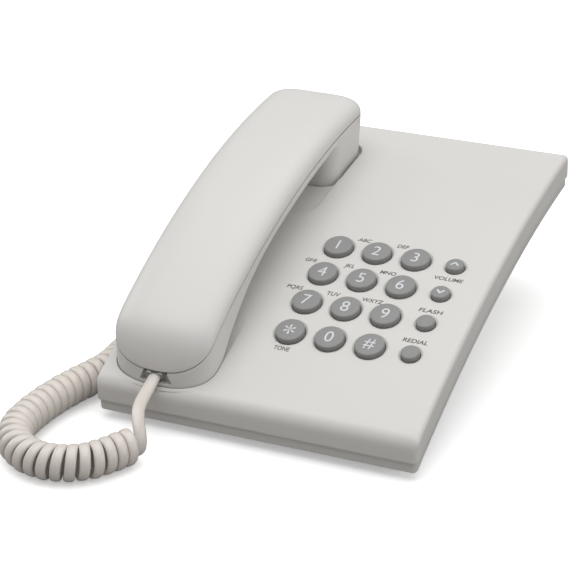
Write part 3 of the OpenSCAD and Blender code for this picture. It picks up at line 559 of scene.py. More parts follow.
def skin(x, y):
    """The top skin with the sloping scoop in front of the ear well."""
    lx, ly = layout_x(x, y), layout_y(x, y)
    qx = np.abs(lx - sum(SCOOP_X) / 2) - (SCOOP_X[1] - SCOOP_X[0]) / 2 + SCOOP_R
    qy = np.abs(ly - sum(SCOOP_Y) / 2) - (SCOOP_Y[1] - SCOOP_Y[0]) / 2 + SCOOP_R
    inset = SCOOP_R - np.hypot(np.maximum(qx, 0), np.maximum(qy, 0)) - np.minimum(np.maximum(qx, qy), 0)
    share = np.clip((ly - SCOOP_Y[0]) / (EAR_FRONT_Y - SCOOP_Y[0]), 0, 1)
    depth = SCOOP_DEPTH[0] + (SCOOP_DEPTH[1] - SCOOP_DEPTH[0]) * share
    return top_height(x, y) - depth * smooth(inset / 0.9) * smooth((50 - ly) / 6)


def ear_depth(x, y):
    return np.maximum(skin(x, y) - (top.z(layout_y(x, y)) - EAR_DEPTH), 0.05)


def mouth_z(y):
    return line_z(y, MOUTH_WELL_Y[0], MOUTH_DEPTH, MOUTH_WELL_Y[1], 0.0)


def mouth_depth(x, y):
    return np.maximum(top_height(x, y) - mouth_z(layout_y(x, y)), 0.03)


def mouth_outline(step):
    """Outline of the mouth well, close around the handset's rounded end, and its outward normals."""
    w, length, r = HS_W / 2 + MOUTH_GAP[0], MOUTH_L + MOUTH_GAP[1], 1.5
    b = np.linspace(0, math.pi, 400)
    a = np.linspace(0, math.pi / 2, 40)
    front = np.column_stack([-w * np.sign(np.cos(b)) * np.abs(np.cos(b)) ** (2 / MOUTH_P[0]),
                             HS_Y[0] + MOUTH_L - length * np.sin(b) ** (2 / MOUTH_P[1])])
    back = MOUTH_WELL_Y[1] - 0.6 - r
    right = np.column_stack([w - r + r * np.cos(a), back + r * np.sin(a)])
    left = right[::-1] * np.array([-1, 1])
    path = np.vstack([front, right, left, front[:1]])
    run = np.concatenate([[0], np.cumsum(np.hypot(*np.diff(path, axis=0).T))])
    at = np.linspace(0, run[-1], int(run[-1] / step), endpoint=False)
    points = np.column_stack([np.interp(at, run, path[:, k]) for k in range(2)])
    t = np.roll(points, -1, axis=0) - np.roll(points, 1, axis=0)
    t /= np.linalg.norm(t, axis=1)[:, None]
    return points + np.array([HS_X, 0]), np.column_stack([t[:, 1], -t[:, 0]])


def floor_of(depth, surface):
    return lambda x, y: surface(x, y) - depth(x, y)


def build_upper_housing():
    s = Surface()
    points, normals = base_outline(2.0)
    rings = []
    for k in range(8):
        flat = points - normals * (1 - k / 7) ** 2
        rings.append(np.column_stack([flat, top_height(flat[:, 0], flat[:, 1])]))
    low = 0.35                       # small round on the lower edge, over the seam
    z_top, z_seam = rings[-1][:, 2], seam.z(points[:, 1])
    rows = 6
    for k in range(1, rows + 1):
        z = z_top + (z_seam + low - z_top) * k / rows
        rings.append(np.column_stack([points, z]))
    for k in range(1, 4):
        a = math.pi / 2 * k / 3
        flat = points - normals * low * (1 - math.cos(a))
        rings.append(np.column_stack([flat, seam.z(flat[:, 1]) + low * (1 - math.sin(a))]))
    ids = s.rings(rings)
    holes = []

    def through(place, radius, n):
        holes.append(s.rings(key_hole_rings(*place, radius, n))[0])

    for place in key_places:
        through(place, KEY_R, 56)
    for place in fn_places:
        through(place, FN_R, 44)
    # slot of the handset hook
    tab = rounded_loop([(HS_X - 5.6, TAB_Y - 1.3, 0.6), (HS_X + 5.6, TAB_Y - 1.3, 0.6),
                        (HS_X + 5.6, TAB_Y + 1.3, 0.6), (HS_X - 5.6, TAB_Y + 1.3, 0.6)], 0.8)
    holes.append(s.rings(well_rings(*tab, top_height, lambda x, y: np.full(len(x), 3.0), 0.35, 0.05))[0])
    # ear well
    ear = turned_loop(rounded_loop([(ear_x[0], EAR_FRONT_Y - WELL_GAP, 9), (ear_x[1], EAR_FRONT_Y - WELL_GAP, 9),
                                    (ear_x[1], EAR_BACK_Y, 9.5), (ear_x[0], EAR_BACK_Y, 9.5)], 1.0))
    ear_ids = s.rings(well_rings(*ear, skin, ear_depth, 0.4, 1.4))
    holes.append(ear_ids[0])
    plunger = rounded_loop([(HS_X - 4.6, PLUNGER_Y - 3.1, 0.6), (HS_X + 4.6, PLUNGER_Y - 3.1, 0.6),
                            (HS_X + 4.6, PLUNGER_Y + 3.1, 0.6), (HS_X - 4.6, PLUNGER_Y + 3.1, 0.6)], 0.8)
    ear_floor = floor_of(ear_depth, skin)
    plunger_ids = s.rings(well_rings(*plunger, ear_floor, lambda x, y: np.full(len(x), 1.7), 0.3, 0.05))
    fill(s, ear_ids[-1], [plunger_ids[0]], ear_floor,
         grid_points(ear_x[0] - 2, ear_x[1] + 4, EAR_FRONT_Y - 2, EAR_BACK_Y + 1, 2.0), 1.0)
    mouth = turned_loop(mouth_outline(1.2))
    mouth_ids = s.rings(well_rings(*mouth, skin, mouth_depth, 0.5, 0.8))
    holes.append(mouth_ids[0])
    fill(s, mouth_ids[-1], [], floor_of(mouth_depth, top_height),
         grid_points(ear_x[0] - 3, ear_x[1] + 3, MOUTH_WELL_Y[0] - 2, MOUTH_WELL_Y[1] + 1, 1.6), 0.8)
    scoop_rows = []
    for d in (-0.3, 0.0, 0.2, 0.4, 0.6, 0.8, 1.1):
        x0, x1, y0, y1 = SCOOP_X[0] + d, SCOOP_X[1] - d, SCOOP_Y[0] + d, SCOOP_Y[1] - d
        scoop_rows.append(turned(rounded_loop([(x, y, SCOOP_R - d) for x, y in
                                               ((x0, y0), (x1, y0), (x1, y1), (x0, y1))], 1.3)[0]))
    # open top surface, with extra rows of points in the rolled edges
    near_edge = []
    for d in (1.5, 2.0, 2.6, 3.3, 4.1, 4.9, 5.6):
        row = points - normals * d
        near_edge.append(row[np.abs(edge_distance(row[:, 0], row[:, 1])[0] - d) < 0.02])
    extra = np.vstack(near_edge + scoop_rows + [grid_points(-BASE_W / 2 + 7, BASE_W / 2 - 7, -BASE_D / 2 + 7, BASE_D / 2 - 7, 2.2)])
    fill(s, ids[0], holes, skin, extra, 0.42)
    obj = make("housing_top", s.v, s.f, [housing_mat])
    thicken(obj, SHELL_T)
    return obj


def block(name, lo, hi, place):
    """Closed box from lo to hi in a local frame; place maps local points to the shared frame."""
    corners = [(x, y, z) for z in (lo[2], hi[2]) for y in (lo[1], hi[1]) for x in (lo[0], hi[0])]
    return make(name, place(np.array(corners, float)),
                [(0, 1, 3, 2), (4, 5, 7, 6), (0, 1, 5, 4), (2, 3, 7, 6), (0, 2, 6, 4), (1, 3, 7, 5)], shade=False)


REAR_Y, REAR_DEPTH = 82.0, 11.2
CORD_JACK_Y, JACK_UP = -10.0, 1.7


def at_cord_jack(p):
    """Local points of the cord jack, its Y pointing into the left wall, to the shared frame."""
    s = float(seam.slope(CORD_JACK_Y))
    up = p[:, 2] + JACK_UP
    return np.column_stack([-BASE_W / 2 + p[:, 1], CORD_JACK_Y - p[:, 0] * math.cos(s) - up * math.sin(s),
                            seam.z(CORD_JACK_Y) - p[:, 0] * math.sin(s) + up * math.cos(s)])


def cut_openings(obj):
    """Openings for the line jack and the two knobs in the back wall, and for the cord jack on the left."""
    edge = BASE_D / 2 - REAR_Y
    cut(obj, block("opening", (-6.6, edge - 8, -REAR_DEPTH - 0.1), (6.6, edge + 8, -REAR_DEPTH + 8.1),
                   lambda p: on_top(26.0, REAR_Y, p)))
    for x, travel in ((50.0, 6.0), (-6.0, 4.0)):
        cut(obj, block("opening", (-2.3, edge - 5, -8.4), (2.3 + travel, edge + 5, -4.8),
                       lambda p: on_top(x, REAR_Y, p)))
    cut(obj, block("opening", (-6.6, -3, -4.1), (6.6, 5, 4.1), at_cord_jack))


upper = build_upper_housing()
cut_openings(upper)
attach(upper, "base")
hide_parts("upper_housing")


# ---------------------------------------------------------------- keys
def lathe_points(profile, n):
    a = np.arange(n) * 2 * math.pi / n
    return [np.column_stack([r * np.cos(a), r * np.sin(a), np.full(n, z)]) for r, z in profile]


def key_profile(r, rise):
    """Profile of a key from the middle of its slightly crowned top, down its side, to its flange."""
    crown, f = 0.10, 0.62
    rows = [(0.001, rise)]
    for k in range(1, 6):
        t = k / 5
        rows.append(((r - f) * t, rise - crown * t * t))
    edge = rise - crown
    for k in range(1, 7):
        a = math.pi / 2 * k / 6
        rows.append((r - f + f * math.sin(a), edge - f * (1 - math.cos(a))))
    rows += [(r, -1.2), (r, -2.5), (r + 1.0, -2.62), (r + 1.1, -2.72), (r + 1.1, -3.0), (r + 1.0, -3.08),
             (r / 2, -3.1), (r / 2, -3.2), (0.001, -3.22)]
    return rows


def text_mesh(body, size, depth, weight=0.0, shear=0.0):
    """Points (across, along, up) and faces of raised signs, centred on the origin."""
    curve = bpy.data.curves.new("sign", "FONT")
    curve.body, curve.size, curve.extrude, curve.offset, curve.shear = body, size, depth / 2, weight, shear
    curve.align_x, curve.align_y, curve.resolution_u = "CENTER", "CENTER", 5
    obj = bpy.data.objects.new("sign", curve)
    bpy.context.scene.collection.objects.link(obj)
    dg = bpy.context.evaluated_depsgraph_get()
    mesh = bpy.data.meshes.new_from_object(obj.evaluated_get(dg))
    v = np.array([p.co for p in mesh.vertices])
    f = [tuple(p.vertices) for p in mesh.polygons]
    bpy.data.objects.remove(obj)
    bpy.data.meshes.remove(mesh)
    v[:, :2] -= (v[:, :2].max(0) + v[:, :2].min(0)) / 2
    return v, f


def bars(rows, depth):
    """Flat strokes from (x0, y0, x1, y1, width), as closed prisms."""
    v, f = [], []
    for x0, y0, x1, y1, w in rows:
        d = np.array([x1 - x0, y1 - y0])
        d = d / np.linalg.norm(d)
        n = np.array([-d[1], d[0]]) * w / 2
        a, b = np.array([x0, y0]), np.array([x1, y1])
        ends = []
        for c, turn in ((b, -90), (a, 90)):
            for k in range(7):
                t = math.radians(turn + 30 * k)
                ends.append(c + d * math.cos(t) * w / 2 + n / (w / 2) * math.sin(t) * w / 2)
        k = len(ends)
        start = len(v)
        v += [(*p, depth / 2) for p in ends] + [(*p, -depth / 2) for p in ends]
        f.append(tuple(start + i for i in range(k)))
        f.append(tuple(start + 2 * k - 1 - i for i in range(k)))
        f += [(start + i, start + k + i, start + k + (i + 1) % k, start + (i + 1) % k) for i in range(k)]
    return np.array(v), f


SIGN_DEPTH = 0.10


def star_sign():
    arms = [(0, 0, 2.45 * math.cos(math.radians(a)), 2.45 * math.sin(math.radians(a)), 0.8) for a in range(30, 390, 60)]
    return bars(arms, SIGN_DEPTH)


def build_key(name, place, r, sign):
    s = Surface()
    rings = [on_top(*place, ring) for ring in lathe_points(key_profile(r, KEY_RISE), 64)]
    s.rings(rings)
    plain = len(s.f)
    if sign is not None:
        v, f = sign
        up = KEY_RISE - 0.10 * (np.hypot(v[:, 0], v[:, 1]) / (r - 0.62)) ** 2
        v = np.column_stack([v[:, 0], v[:, 1], v[:, 2] + up + 0.005])
        ids = s.add(on_top(*place, v))
        s.f.extend(tuple(ids[i] for i in face) for face in f)
    obj = make(name, s.v, s.f, [key_mat, legend_mat], [0] * plain + [1] * (len(s.f) - plain))
    smooth_by_angle(obj, 40)
    return obj


for i, (name, place) in enumerate(zip(KEY_NAMES, key_places)):
    sign = star_sign() if name == "star" else text_mesh(KEY_SIGNS[i], 8.7, SIGN_DEPTH, -0.03)
    key = build_key("dial_key_" + name, place, KEY_R, sign)
    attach(key, "key_" + name)
    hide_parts("key_" + name)
for i, (name, place) in enumerate(zip(FN_NAMES, fn_places)):
    sign = None
    if i < 2:
        tip = 0.9 if i == 0 else -0.9
        sign = bars([(-1.55, -tip * 0.8, 0, tip, 0.75), (1.55, -tip * 0.8, 0, tip, 0.75)], SIGN_DEPTH)
    key = build_key("side_key_" + name, place, FN_R, sign)
    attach(key, "key_" + name)
    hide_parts("key_" + name)


# ---------------------------------------------------------------- printed letters and marks
def build_prints():
    s = Surface()

    def word(text, x, y, right, along, width=None):
        v, f = text_mesh(text, 3.2, 0.08, 0.055, 0.12)
        if width:
            v[:, 0] *= width / np.ptp(v[:, 0])
        v = v + np.array([right, along, 0.0])
        v[:, 2] -= v[:, 1] ** 2 / (2 * top.r)
        ids = s.add(on_top(x, y, v))
        s.f.extend(tuple(ids[i] for i in face) for face in f)

    for (x, y), letters in zip(key_places, KEY_LETTERS):
        if letters:
            word(letters, x, y, -8.9, 7.8)
    word("VOLUME", FN_COL_X, row_y[0], 0, -8.6, 13.4)
    word("FLASH", FN_COL_X, row_y[2], -0.4, 7.8, 11.0)
    word("REDIAL", FN_COL_X, row_y[3], -0.6, 7.8, 11.4)
    word("TONE", *key_places[9], 0, -9.8, 7.4)
    return make("dial_letters", s.v, s.f, [print_mat], shade=False)


letters = build_prints()
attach(letters, "base")


# ---------------------------------------------------------------- handset
def crown_at(y):
    """Height of the handset's back above its seam."""
    mid = (HS_Y[0] + HS_Y[1]) / 2
    half = (HS_Y[1] - HS_Y[0]) / 2
    t = np.clip((y - mid) / half, -1, 1)
    end = np.where(t < 0, CROWN[0], CROWN[2])
    return (CROWN[1] + (end - CROWN[1]) * t ** 2) / np.cos(hs_seam.slope(y))


def section_p(y):
    return SECTION_P[0] + (SECTION_P[1] - SECTION_P[0]) * smooth((y + 60) / 110)


def shell_seam(y):
    """Height of the seam between the shells: an arc that dips at the mouth end."""
    return hs_seam.z(y) - seam_dip(y)


def seam_dip(y):
    return 6.5 * np.clip((-78.0 - y) / 18.8, 0, 1) ** 1.9


def handset_outline(n_end=26, step=2.0):
    """Half outline on the right, from the mouth end to the ear end: spine y, plan x offset, y."""
    y0, y1 = HS_Y[0] + MOUTH_L, HS_Y[1] - EAR_L

    def end(k, power, length, spine, side):
        b = math.pi / 2 * (1 - (1 - k / n_end) ** 2)      # from the straight side to the middle of the end
        x = HS_W / 2 * math.cos(b) ** (2 / power[0]) if k < n_end else 0.0
        return spine, x, spine + side * length * math.sin(b) ** (2 / power[1])

    count = int((y1 - y0) / step)
    rows = [end(k, MOUTH_P, MOUTH_L, y0, -1) for k in range(n_end, 0, -1)]
    rows += [(y0 + (y1 - y0) * k / count, HS_W / 2, y0 + (y1 - y0) * k / count) for k in range(count + 1)]
    rows += [end(k, EAR_P, EAR_L, y1, 1) for k in range(1, n_end + 1)]
    return np.array(rows)


half_outline = handset_outline()
SEAM_GAP = 0.42


def build_outer_shell():
    s = Surface()
    right = half_outline
    left = right[1:-1][::-1] * np.array([1, -1, 1])
    loop = np.vstack([right, left])
    spine = np.column_stack([np.zeros(len(loop)), loop[:, 0]])
    edge = loop[:, 1:3]
    # rounder towards the middle of the ear end
    p = section_p(loop[:, 2]) - 2.3 * np.clip((loop[:, 2] - HS_Y[1] + EAR_L) / EAR_L, 0, 1) ** 2

    def ring(share, up, lift=0.0):
        flat = spine + (edge - spine) * np.broadcast_to(share, len(loop))[:, None]
        y = flat[:, 1]
        z = hs_seam.z(y) - seam_dip(y) * (1 - up) ** 0.8 + up * crown_at(y) + lift
        return np.column_stack([flat[:, 0] + HS_X, y, z])

    # underside, turned edge, then the crowned back up to the spine
    rings = [ring(0.86, 0.0, SEAM_GAP), ring(0.97, 0.0, SEAM_GAP), ring(0.984, 0.0, SEAM_GAP),
             ring(0.993, 0.0, SEAM_GAP + 0.05), ring(0.998, 0.0, SEAM_GAP + 0.17)]
    steps = 30
    for k in range(1, steps + 1):
        a = math.pi / 2 * (k / steps) ** 1.1
        share = math.cos(a) ** (2 / p) if k < steps else 0.0
        up = math.sin(a) ** (2 / SECTION_Q)
        rings.append(ring(share, up, SEAM_GAP * (1 - up)))
    s.rings(rings)
    return make("handset_back", s.v, s.f, [handset_mat])


def arc_path(arc, y0, y1, n):
    ys = np.linspace(y0, y1, n)
    return np.column_stack([ys, arc.z(ys)])


def under_path():
    """Side view of the handset's underside, from the mouth end to the ear end."""
    grip = hs_seam.moved_in(GRIP_D)
    u = np.array([math.sin(-hs_seam.slope(NECK_Y)), math.cos(hs_seam.slope(NECK_Y))])
    c = np.array([hs_seam.y, hs_seam.c]) + (grip.r - NECK_R) * u
    neck = Arc(c[0], c[1], NECK_R)
    gap = 0.15
    mouth = lambda y: mouth_z(y) + gap
    ys = np.linspace(HS_Y[0], NECK_Y, 400)
    low = np.maximum(neck.z(np.maximum(ys, c[0] - NECK_R + 1)), mouth(ys))
    meet = ys[np.argmax(neck.z(np.maximum(ys, c[0] - NECK_R + 1)) > mouth(ys))]
    # a short fillet where the neck leaves the mouth end's flat
    rows = [np.column_stack([np.linspace(HS_Y[0], meet, 16), mouth(np.linspace(HS_Y[0], meet, 16))])]
    rows.append(arc_path(neck, meet + 1, NECK_Y, 24))
    fillet_y = EAR_FRONT_Y - EAR_FILLET
    rows.append(arc_path(grip, NECK_Y + 2, fillet_y - 1.5, 24))
    fz = grip.z(fillet_y) - EAR_FILLET
    a = np.radians(np.linspace(80, 0, 10))
    rows.append(np.column_stack([fillet_y + EAR_FILLET * np.sin(np.radians(90) - a), fz + EAR_FILLET * np.sin(a)]))
    floor_z = lambda y: top.z(y) - EAR_DEPTH + gap
    low_r = 1.4
    zc = floor_z(EAR_FRONT_Y + low_r) + low_r
    rows.append(np.column_stack([np.full(10, EAR_FRONT_Y), np.linspace(fz - 1.5, zc + 0.8, 10)]))
    a = np.radians(np.linspace(0, 90, 7))
    rows.append(np.column_stack([EAR_FRONT_Y + low_r * (1 - np.cos(a)), zc - low_r * np.sin(a)]))
    ys = np.linspace(EAR_FRONT_Y + low_r + 1.5, HS_Y[1], 20)
    rows.append(np.column_stack([ys, floor_z(ys)]))
    return np.vstack(rows)


def resample(path, at):
    run = np.concatenate([[0], np.cumsum(np.hypot(*np.diff(path, axis=0).T))])
    return np.column_stack([np.interp(at, run, path[:, k]) for k in range(2)]), run[-1]


def plan_at(y):
    """Half width of the handset's outline at y, and its outward plan normal on the right side."""
    y0, y1 = HS_Y[0] + MOUTH_L, HS_Y[1] - EAR_L
    e = np.clip(np.where(y < y0, (y0 - y) / MOUTH_L, np.where(y > y1, (y - y1) / EAR_L, 0)), 0, 1)
    length = np.where(y < y0, MOUTH_L, EAR_L)
    p = np.where(y < y0, MOUTH_P[0], EAR_P[0])
    q = np.where(y < y0, MOUTH_P[1], EAR_P[1])
    share = np.maximum(1 - e ** q, 0) ** (1 / p)
    nx = p * np.maximum(share, 1e-9) ** (p - 1) / (HS_W / 2)
    ny = np.where(y < y0, -1, np.where(y > y1, 1, 0)) * q * e ** (q - 1) / length
    n = np.hypot(nx, ny)
    return HS_W / 2 * share, nx / n, ny / n


def cup_half_width(y, z):
    """Half width at a height: the ear cup's front corners are rounded below the grip."""
    w = plan_at(np.clip(y, *HS_Y))[0]
    back = np.clip(EAR_FRONT_Y + CUP_CORNER - y, 0, CUP_CORNER)
    narrow = CUP_CORNER - np.sqrt(CUP_CORNER ** 2 - back ** 2)
    below = smooth((hs_seam.z(y) - GRIP_D + 1.5 - z) / 5.0)
    draft = DRAFT * np.maximum(hs_seam.z(y) - z - 1.0, 0) * smooth((y + 10) / 45)
    return w - narrow * below * smooth((y - EAR_FRONT_Y + EAR_FILLET + 1.5) / 4.0) - np.minimum(draft, w * 0.1)


def build_inner_shell():
    path = under_path()
    _, length = resample(path, 0)
    # stations: close together where the ends round off in plan
    t = 1 - (1 - np.arange(25) / 24) ** 2
    mouth_at = (1 - np.sin(t * math.pi / 2) ** (2 / MOUTH_P[1])) * MOUTH_L
    ear_at = length - (1 - np.sin(t * math.pi / 2) ** (2 / EAR_P[1])) * EAR_L
    middle = np.linspace(MOUTH_L, length - EAR_L, 150)
    at = np.unique(np.round(np.concatenate([mouth_at, middle, ear_at]), 6))
    p, _ = resample(path, at)
    # smoothed y of the seam point that faces each station
    fine = np.linspace(0, length, 1200)
    fine_y = resample(path, fine)[0][:, 0]
    window = 14.0
    kernel = np.arange(-window, window, length / 1200)
    padded = lambda s: np.interp(s, fine, fine_y)
    ys = np.array([np.mean(padded(np.clip(a + kernel * min(1, a / window, (length - a) / window), 0, length)))
                   for a in at])
    tangent = np.gradient(p, at, axis=0)
    tangent /= np.linalg.norm(tangent, axis=1)[:, None]
    up = np.column_stack([-tangent[:, 1], tangent[:, 0]])      # (y, z) into the solid
    r = 1.3
    sections = []
    side_rows, fillet_rows, floor_cols = 14, 6, 12
    for k in range(len(at)):
        yb, zb = p[k]
        w, nx, ny = plan_at(yb)
        rb = min(r, max(w * 0.9, 0.02))
        base = np.array([yb, zb]) + up[k] * rb
        y_top, z_top = ys[k], float(shell_seam(ys[k]))
        w_top = float(plan_at(np.clip(y_top, *HS_Y))[0])
        # groove and thin lip at the seam, then the side wall
        deep = min(1, w_top / 8)
        points = [(w_top - min(inset, share * w_top), y_top, z_top - down * deep - 0.02)
                  for inset, share, down in ((0.8, 0.5, 0.9), (0.5, 0.35, 0.5), (0.3, 0.2, 0.02), (0.1, 0.08, 0.05))]
        for j in range(side_rows + 1):
            share = j / side_rows
            y = y_top + (base[0] - y_top) * share
            z = (z_top - 0.32) * (1 - share) + base[1] * share
            points.append((float(cup_half_width(y, z)), y, z))
        flat = up[k][1] ** 2                # 1 on level stretches, 0 on the cup's upright front
        for j in range(1, fillet_rows + 1):
            a = math.pi / 2 * j / fillet_rows
            o, h = rb * (1 - math.cos(a)) * flat, rb * (1 - math.sin(a))
            y, z = yb + up[k][0] * h - ny * o, zb + up[k][1] * h
            wj = float(cup_half_width(yb + up[k][0] * h, z))
            points.append((max(min(w, wj) - nx * o, 0), y, z))
        last = points[-1]
        row = [(last[0] * (1 - 2 * j / floor_cols), last[1], last[2]) for j in range(1, floor_cols)]
        loop = points + row + [(-q[0], q[1], q[2]) for q in points[::-1]]
        top_row = [(-points[0][0] * (1 - 2 * j / floor_cols), points[0][1], points[0][2]) for j in range(1, floor_cols)]
        sections.append([(x + HS_X, y, z) for x, y, z in loop + top_row])
    s = Surface()
    ids = s.rings(sections)
    s.f.append(tuple(ids[0][::-1]))
    s.f.append(tuple(ids[-1]))
    return make("handset_front", s.v, s.f, [handset_mat])


def prism(name, polygon, y0, y1):
    """Closed prism along y from an (x, z) polygon."""
    n = len(polygon)
    v = [(x, y0, z) for x, z in polygon] + [(x, y1, z) for x, z in polygon]
    f = [tuple(range(n)), tuple(range(2 * n - 1, n - 1, -1))]
    f += [(i, n + i, n + (i + 1) % n, (i + 1) % n) for i in range(n)]
    return make(name, v, f, shade=False)


def place_handset(obj):
    """Turns a mesh laid out along Y to the handset's place."""
    pivot = Vector((*HS_PIVOT, 0)) * MM
    obj.data.transform(Matrix.Translation(pivot) @ Matrix.Rotation(HS_YAW, 4, "Z") @ Matrix.Translation(-pivot))


outer = build_outer_shell()
inner = build_inner_shell()
NOTCH_X = HS_X + 0.3
notch = rounded_loop([(-8.0, 21.6, 0.8), (8.0, 21.6, 0.8), (4.8, 29.0, 0.9), (-4.8, 29.0, 0.9)], 1.0)[0]
cut(inner, prism("notch", [(NOTCH_X + x, z) for x, z in notch], HS_Y[0] - 3, HS_Y[0] + 3.2))
close_gaps(inner)
smooth_by_angle(inner, 38)
for piece, node in ((outer, "handset_outer_shell"), (inner, "handset_inner_shell")):
    place_handset(piece)
    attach(piece, "handset")
    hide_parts(node)


# ---------------------------------------------------------------- cord
def bezier(p, t):
    t = np.asarray(t)[:, None]
    p = [np.asarray(q, float) for q in p]
    return (1 - t) ** 3 * p[0] + 3 * (1 - t) ** 2 * t * p[1] + 3 * (1 - t) * t * t * p[2] + t ** 3 * p[3]


def arc_points(c, r, a0, a1, n):
    a = np.radians(np.linspace(a0, a1, n))
    return np.column_stack([c[0] + r * np.cos(a), c[1] + r * np.sin(a), np.full(n, COIL_Z)])


BEND_C, BEND_R, START_A, LEAD_IN = np.array([-71.5, -126.5]), 25.0, -30.0, 15.8
LEAN_R, LEAN_A, BACK_R, COIL_END_Y = 108.0, 20.0, 30.0, -34.0
side_x = -BASE_W / 2 - COIL_R - 0.6
JACK_A = math.radians(30)
JACK_AT = turned([(HS_X, HS_Y[0] + 2.3, 25.5)])[0]


def coil_path():
    """Centre line of the coil on the table, from the mouth end round to the base's side."""
    a = math.radians(START_A)
    first = BEND_C + BEND_R * np.array([math.cos(a), math.sin(a)]) + LEAD_IN * np.array([-math.sin(a), math.cos(a)])
    lean_c = BEND_C + np.array([LEAN_R - BEND_R, 0])
    lean = math.radians(LEAN_A)
    lean_end = lean_c + LEAN_R * np.array([-math.cos(lean), math.sin(lean)])
    run = (side_x - lean_end[0] - BACK_R * (1 - math.cos(lean))) / math.sin(lean)
    back_start = lean_end + run * np.array([math.sin(lean), math.cos(lean)])
    back_c = back_start + BACK_R * np.array([-math.cos(lean), math.sin(lean)])
    return np.vstack([[(*first, COIL_Z)], arc_points(BEND_C, BEND_R, START_A, -180, 60),
                      arc_points(lean_c, LEAN_R, 179, 180 - LEAN_A, 20),
                      arc_points(back_c, BACK_R, -LEAN_A, 0, 8), [(side_x, COIL_END_Y, COIL_Z)]])


def along(path, spacing):
    run = np.concatenate([[0], np.cumsum(np.linalg.norm(np.diff(path, axis=0), axis=1))])
    at = np.linspace(0, run[-1], int(run[-1] / spacing) + 1)
    return np.column_stack([np.interp(at, run, path[:, k]) for k in range(3)]), at


def smooth_line(p, times):
    for _ in range(times):
        p = p.copy()
        p[1:-1] = (p[:-2] + 2 * p[1:-1] + p[2:]) / 4
    return p


def sweep(name, centre, flat_normal, material, width=CORD_W):
    """Cord with a flattened round section, swept along centre; flat_normal faces the flat side outwards."""
    width = np.broadcast_to(width, len(centre))[:, None]
    n = 14
    t = np.gradient(centre, axis=0)
    t /= np.linalg.norm(t, axis=1)[:, None]
    u = flat_normal - (flat_normal * t).sum(1)[:, None] * t
    u /= np.linalg.norm(u, axis=1)[:, None]
    w = np.cross(t, u)
    rings = []
    for k in range(n):
        a = 2 * math.pi * k / n
        c, d = math.cos(a), math.sin(a)
        ex = 0.8
        rings.append(centre + u * (CORD_T / 2 * math.copysign(abs(c) ** ex, c))
                     + w * width * (0.5 * math.copysign(abs(d) ** ex, d)))
    rows = np.stack(rings, 1)
    s = Surface()
    ids = s.rings(list(rows))
    s.f.append(tuple(ids[0][::-1]))
    s.f.append(tuple(ids[-1]))
    return make(name, s.v, s.f, [material])


def build_coil():
    path, at = along(smooth_line(along(coil_path(), 0.5)[0], 40), 0.25)
    length = at[-1]
    pitch = CORD_W + 0.25
    turns = round(length / pitch)
    t = np.gradient(path, axis=0)
    t /= np.linalg.norm(t, axis=1)[:, None]
    up = np.tile([0, 0, 1.0], (len(path), 1))
    side = np.cross(t, up)
    # many samples per turn
    samples = np.linspace(0, length, turns * 26)
    centre = np.column_stack([np.interp(samples, at, path[:, k]) for k in range(3)])
    sv = np.column_stack([np.interp(samples, at, side[:, k]) for k in range(3)])
    angle = math.radians(150) + 2 * math.pi * turns * samples / length
    ramp = smooth(samples / (0.6 * pitch)) * smooth((length - samples) / (0.6 * pitch))
    radius = (COIL_R - CORD_T / 2) * (1 - 0.02 * np.sin(samples * 0.31) ** 2) * np.maximum(ramp, 0.9)
    out = sv * np.cos(angle)[:, None] + up[0] * np.sin(angle)[:, None]
    helix = centre + out * radius[:, None]
    return helix, out


helix, helix_out = build_coil()
plug_a = JACK_AT - 3.2 * np.array([0, math.cos(JACK_A), math.sin(JACK_A)]) + np.array([0, 1.7, 1.0])
plug_b = at_cord_jack(np.array([(0.0, -1.2, 0.0)]))[0]


def joined(tail, tail_out, line, line_out):
    """Joins a tail and the helix, easing the turn between them."""
    centre = np.vstack([tail, line])
    out = np.vstack([tail_out, line_out])
    k = len(tail)
    a, b = max(k - 14, 1), k + 14
    for _ in range(30):
        centre[a:b] = (centre[a - 1:b - 1] + 2 * centre[a:b] + centre[a + 1:b + 1]) / 4
        out[a:b] = (out[a - 1:b - 1] + 2 * out[a:b] + out[a + 1:b + 1]) / 4
    return centre, out


first_t = helix[1] - helix[0]
first_t /= np.linalg.norm(first_t)
tail_a = bezier([plug_a, plug_a + [-1.2, -12, -8.5], helix[0] - first_t * 11 + [-3, 0, 5], helix[0]], np.linspace(0, 1, 40))[:-1]
tail_out = np.linspace([0, 0, 1.0], helix_out[0], 39)
last_t = helix[-1] - helix[-2]
last_t /= np.linalg.norm(last_t)
tail_b = bezier([helix[-1], helix[-1] + last_t * 10 + [0, 4, 2], plug_b + [-14, 0, 0], plug_b], np.linspace(0, 1, 44))[1:]
tail_b_out = np.linspace(helix_out[-1], [0, 0, 1.0], 43)
centre, out = joined(tail_a, tail_out, helix, helix_out)
split = len(centre)
whole, whole_out = joined(centre, out, tail_b, tail_b_out)
lead_width = CORD_W + 0.9 * (1 - smooth((np.arange(split) - len(tail_a) + 8) / 26))
cord = sweep("coiled_cord_visible", whole[:split], whole_out[:split], cord_mat, lead_width)
tail = sweep("cord_tail", whole[split - 1:], whole_out[split - 1:], cord_mat)
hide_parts("coiled_cord")
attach(tail, "base")


def blend_cord():
    """Bakes the coil's object transform into its mesh."""
    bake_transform(cord)


blend_cord()


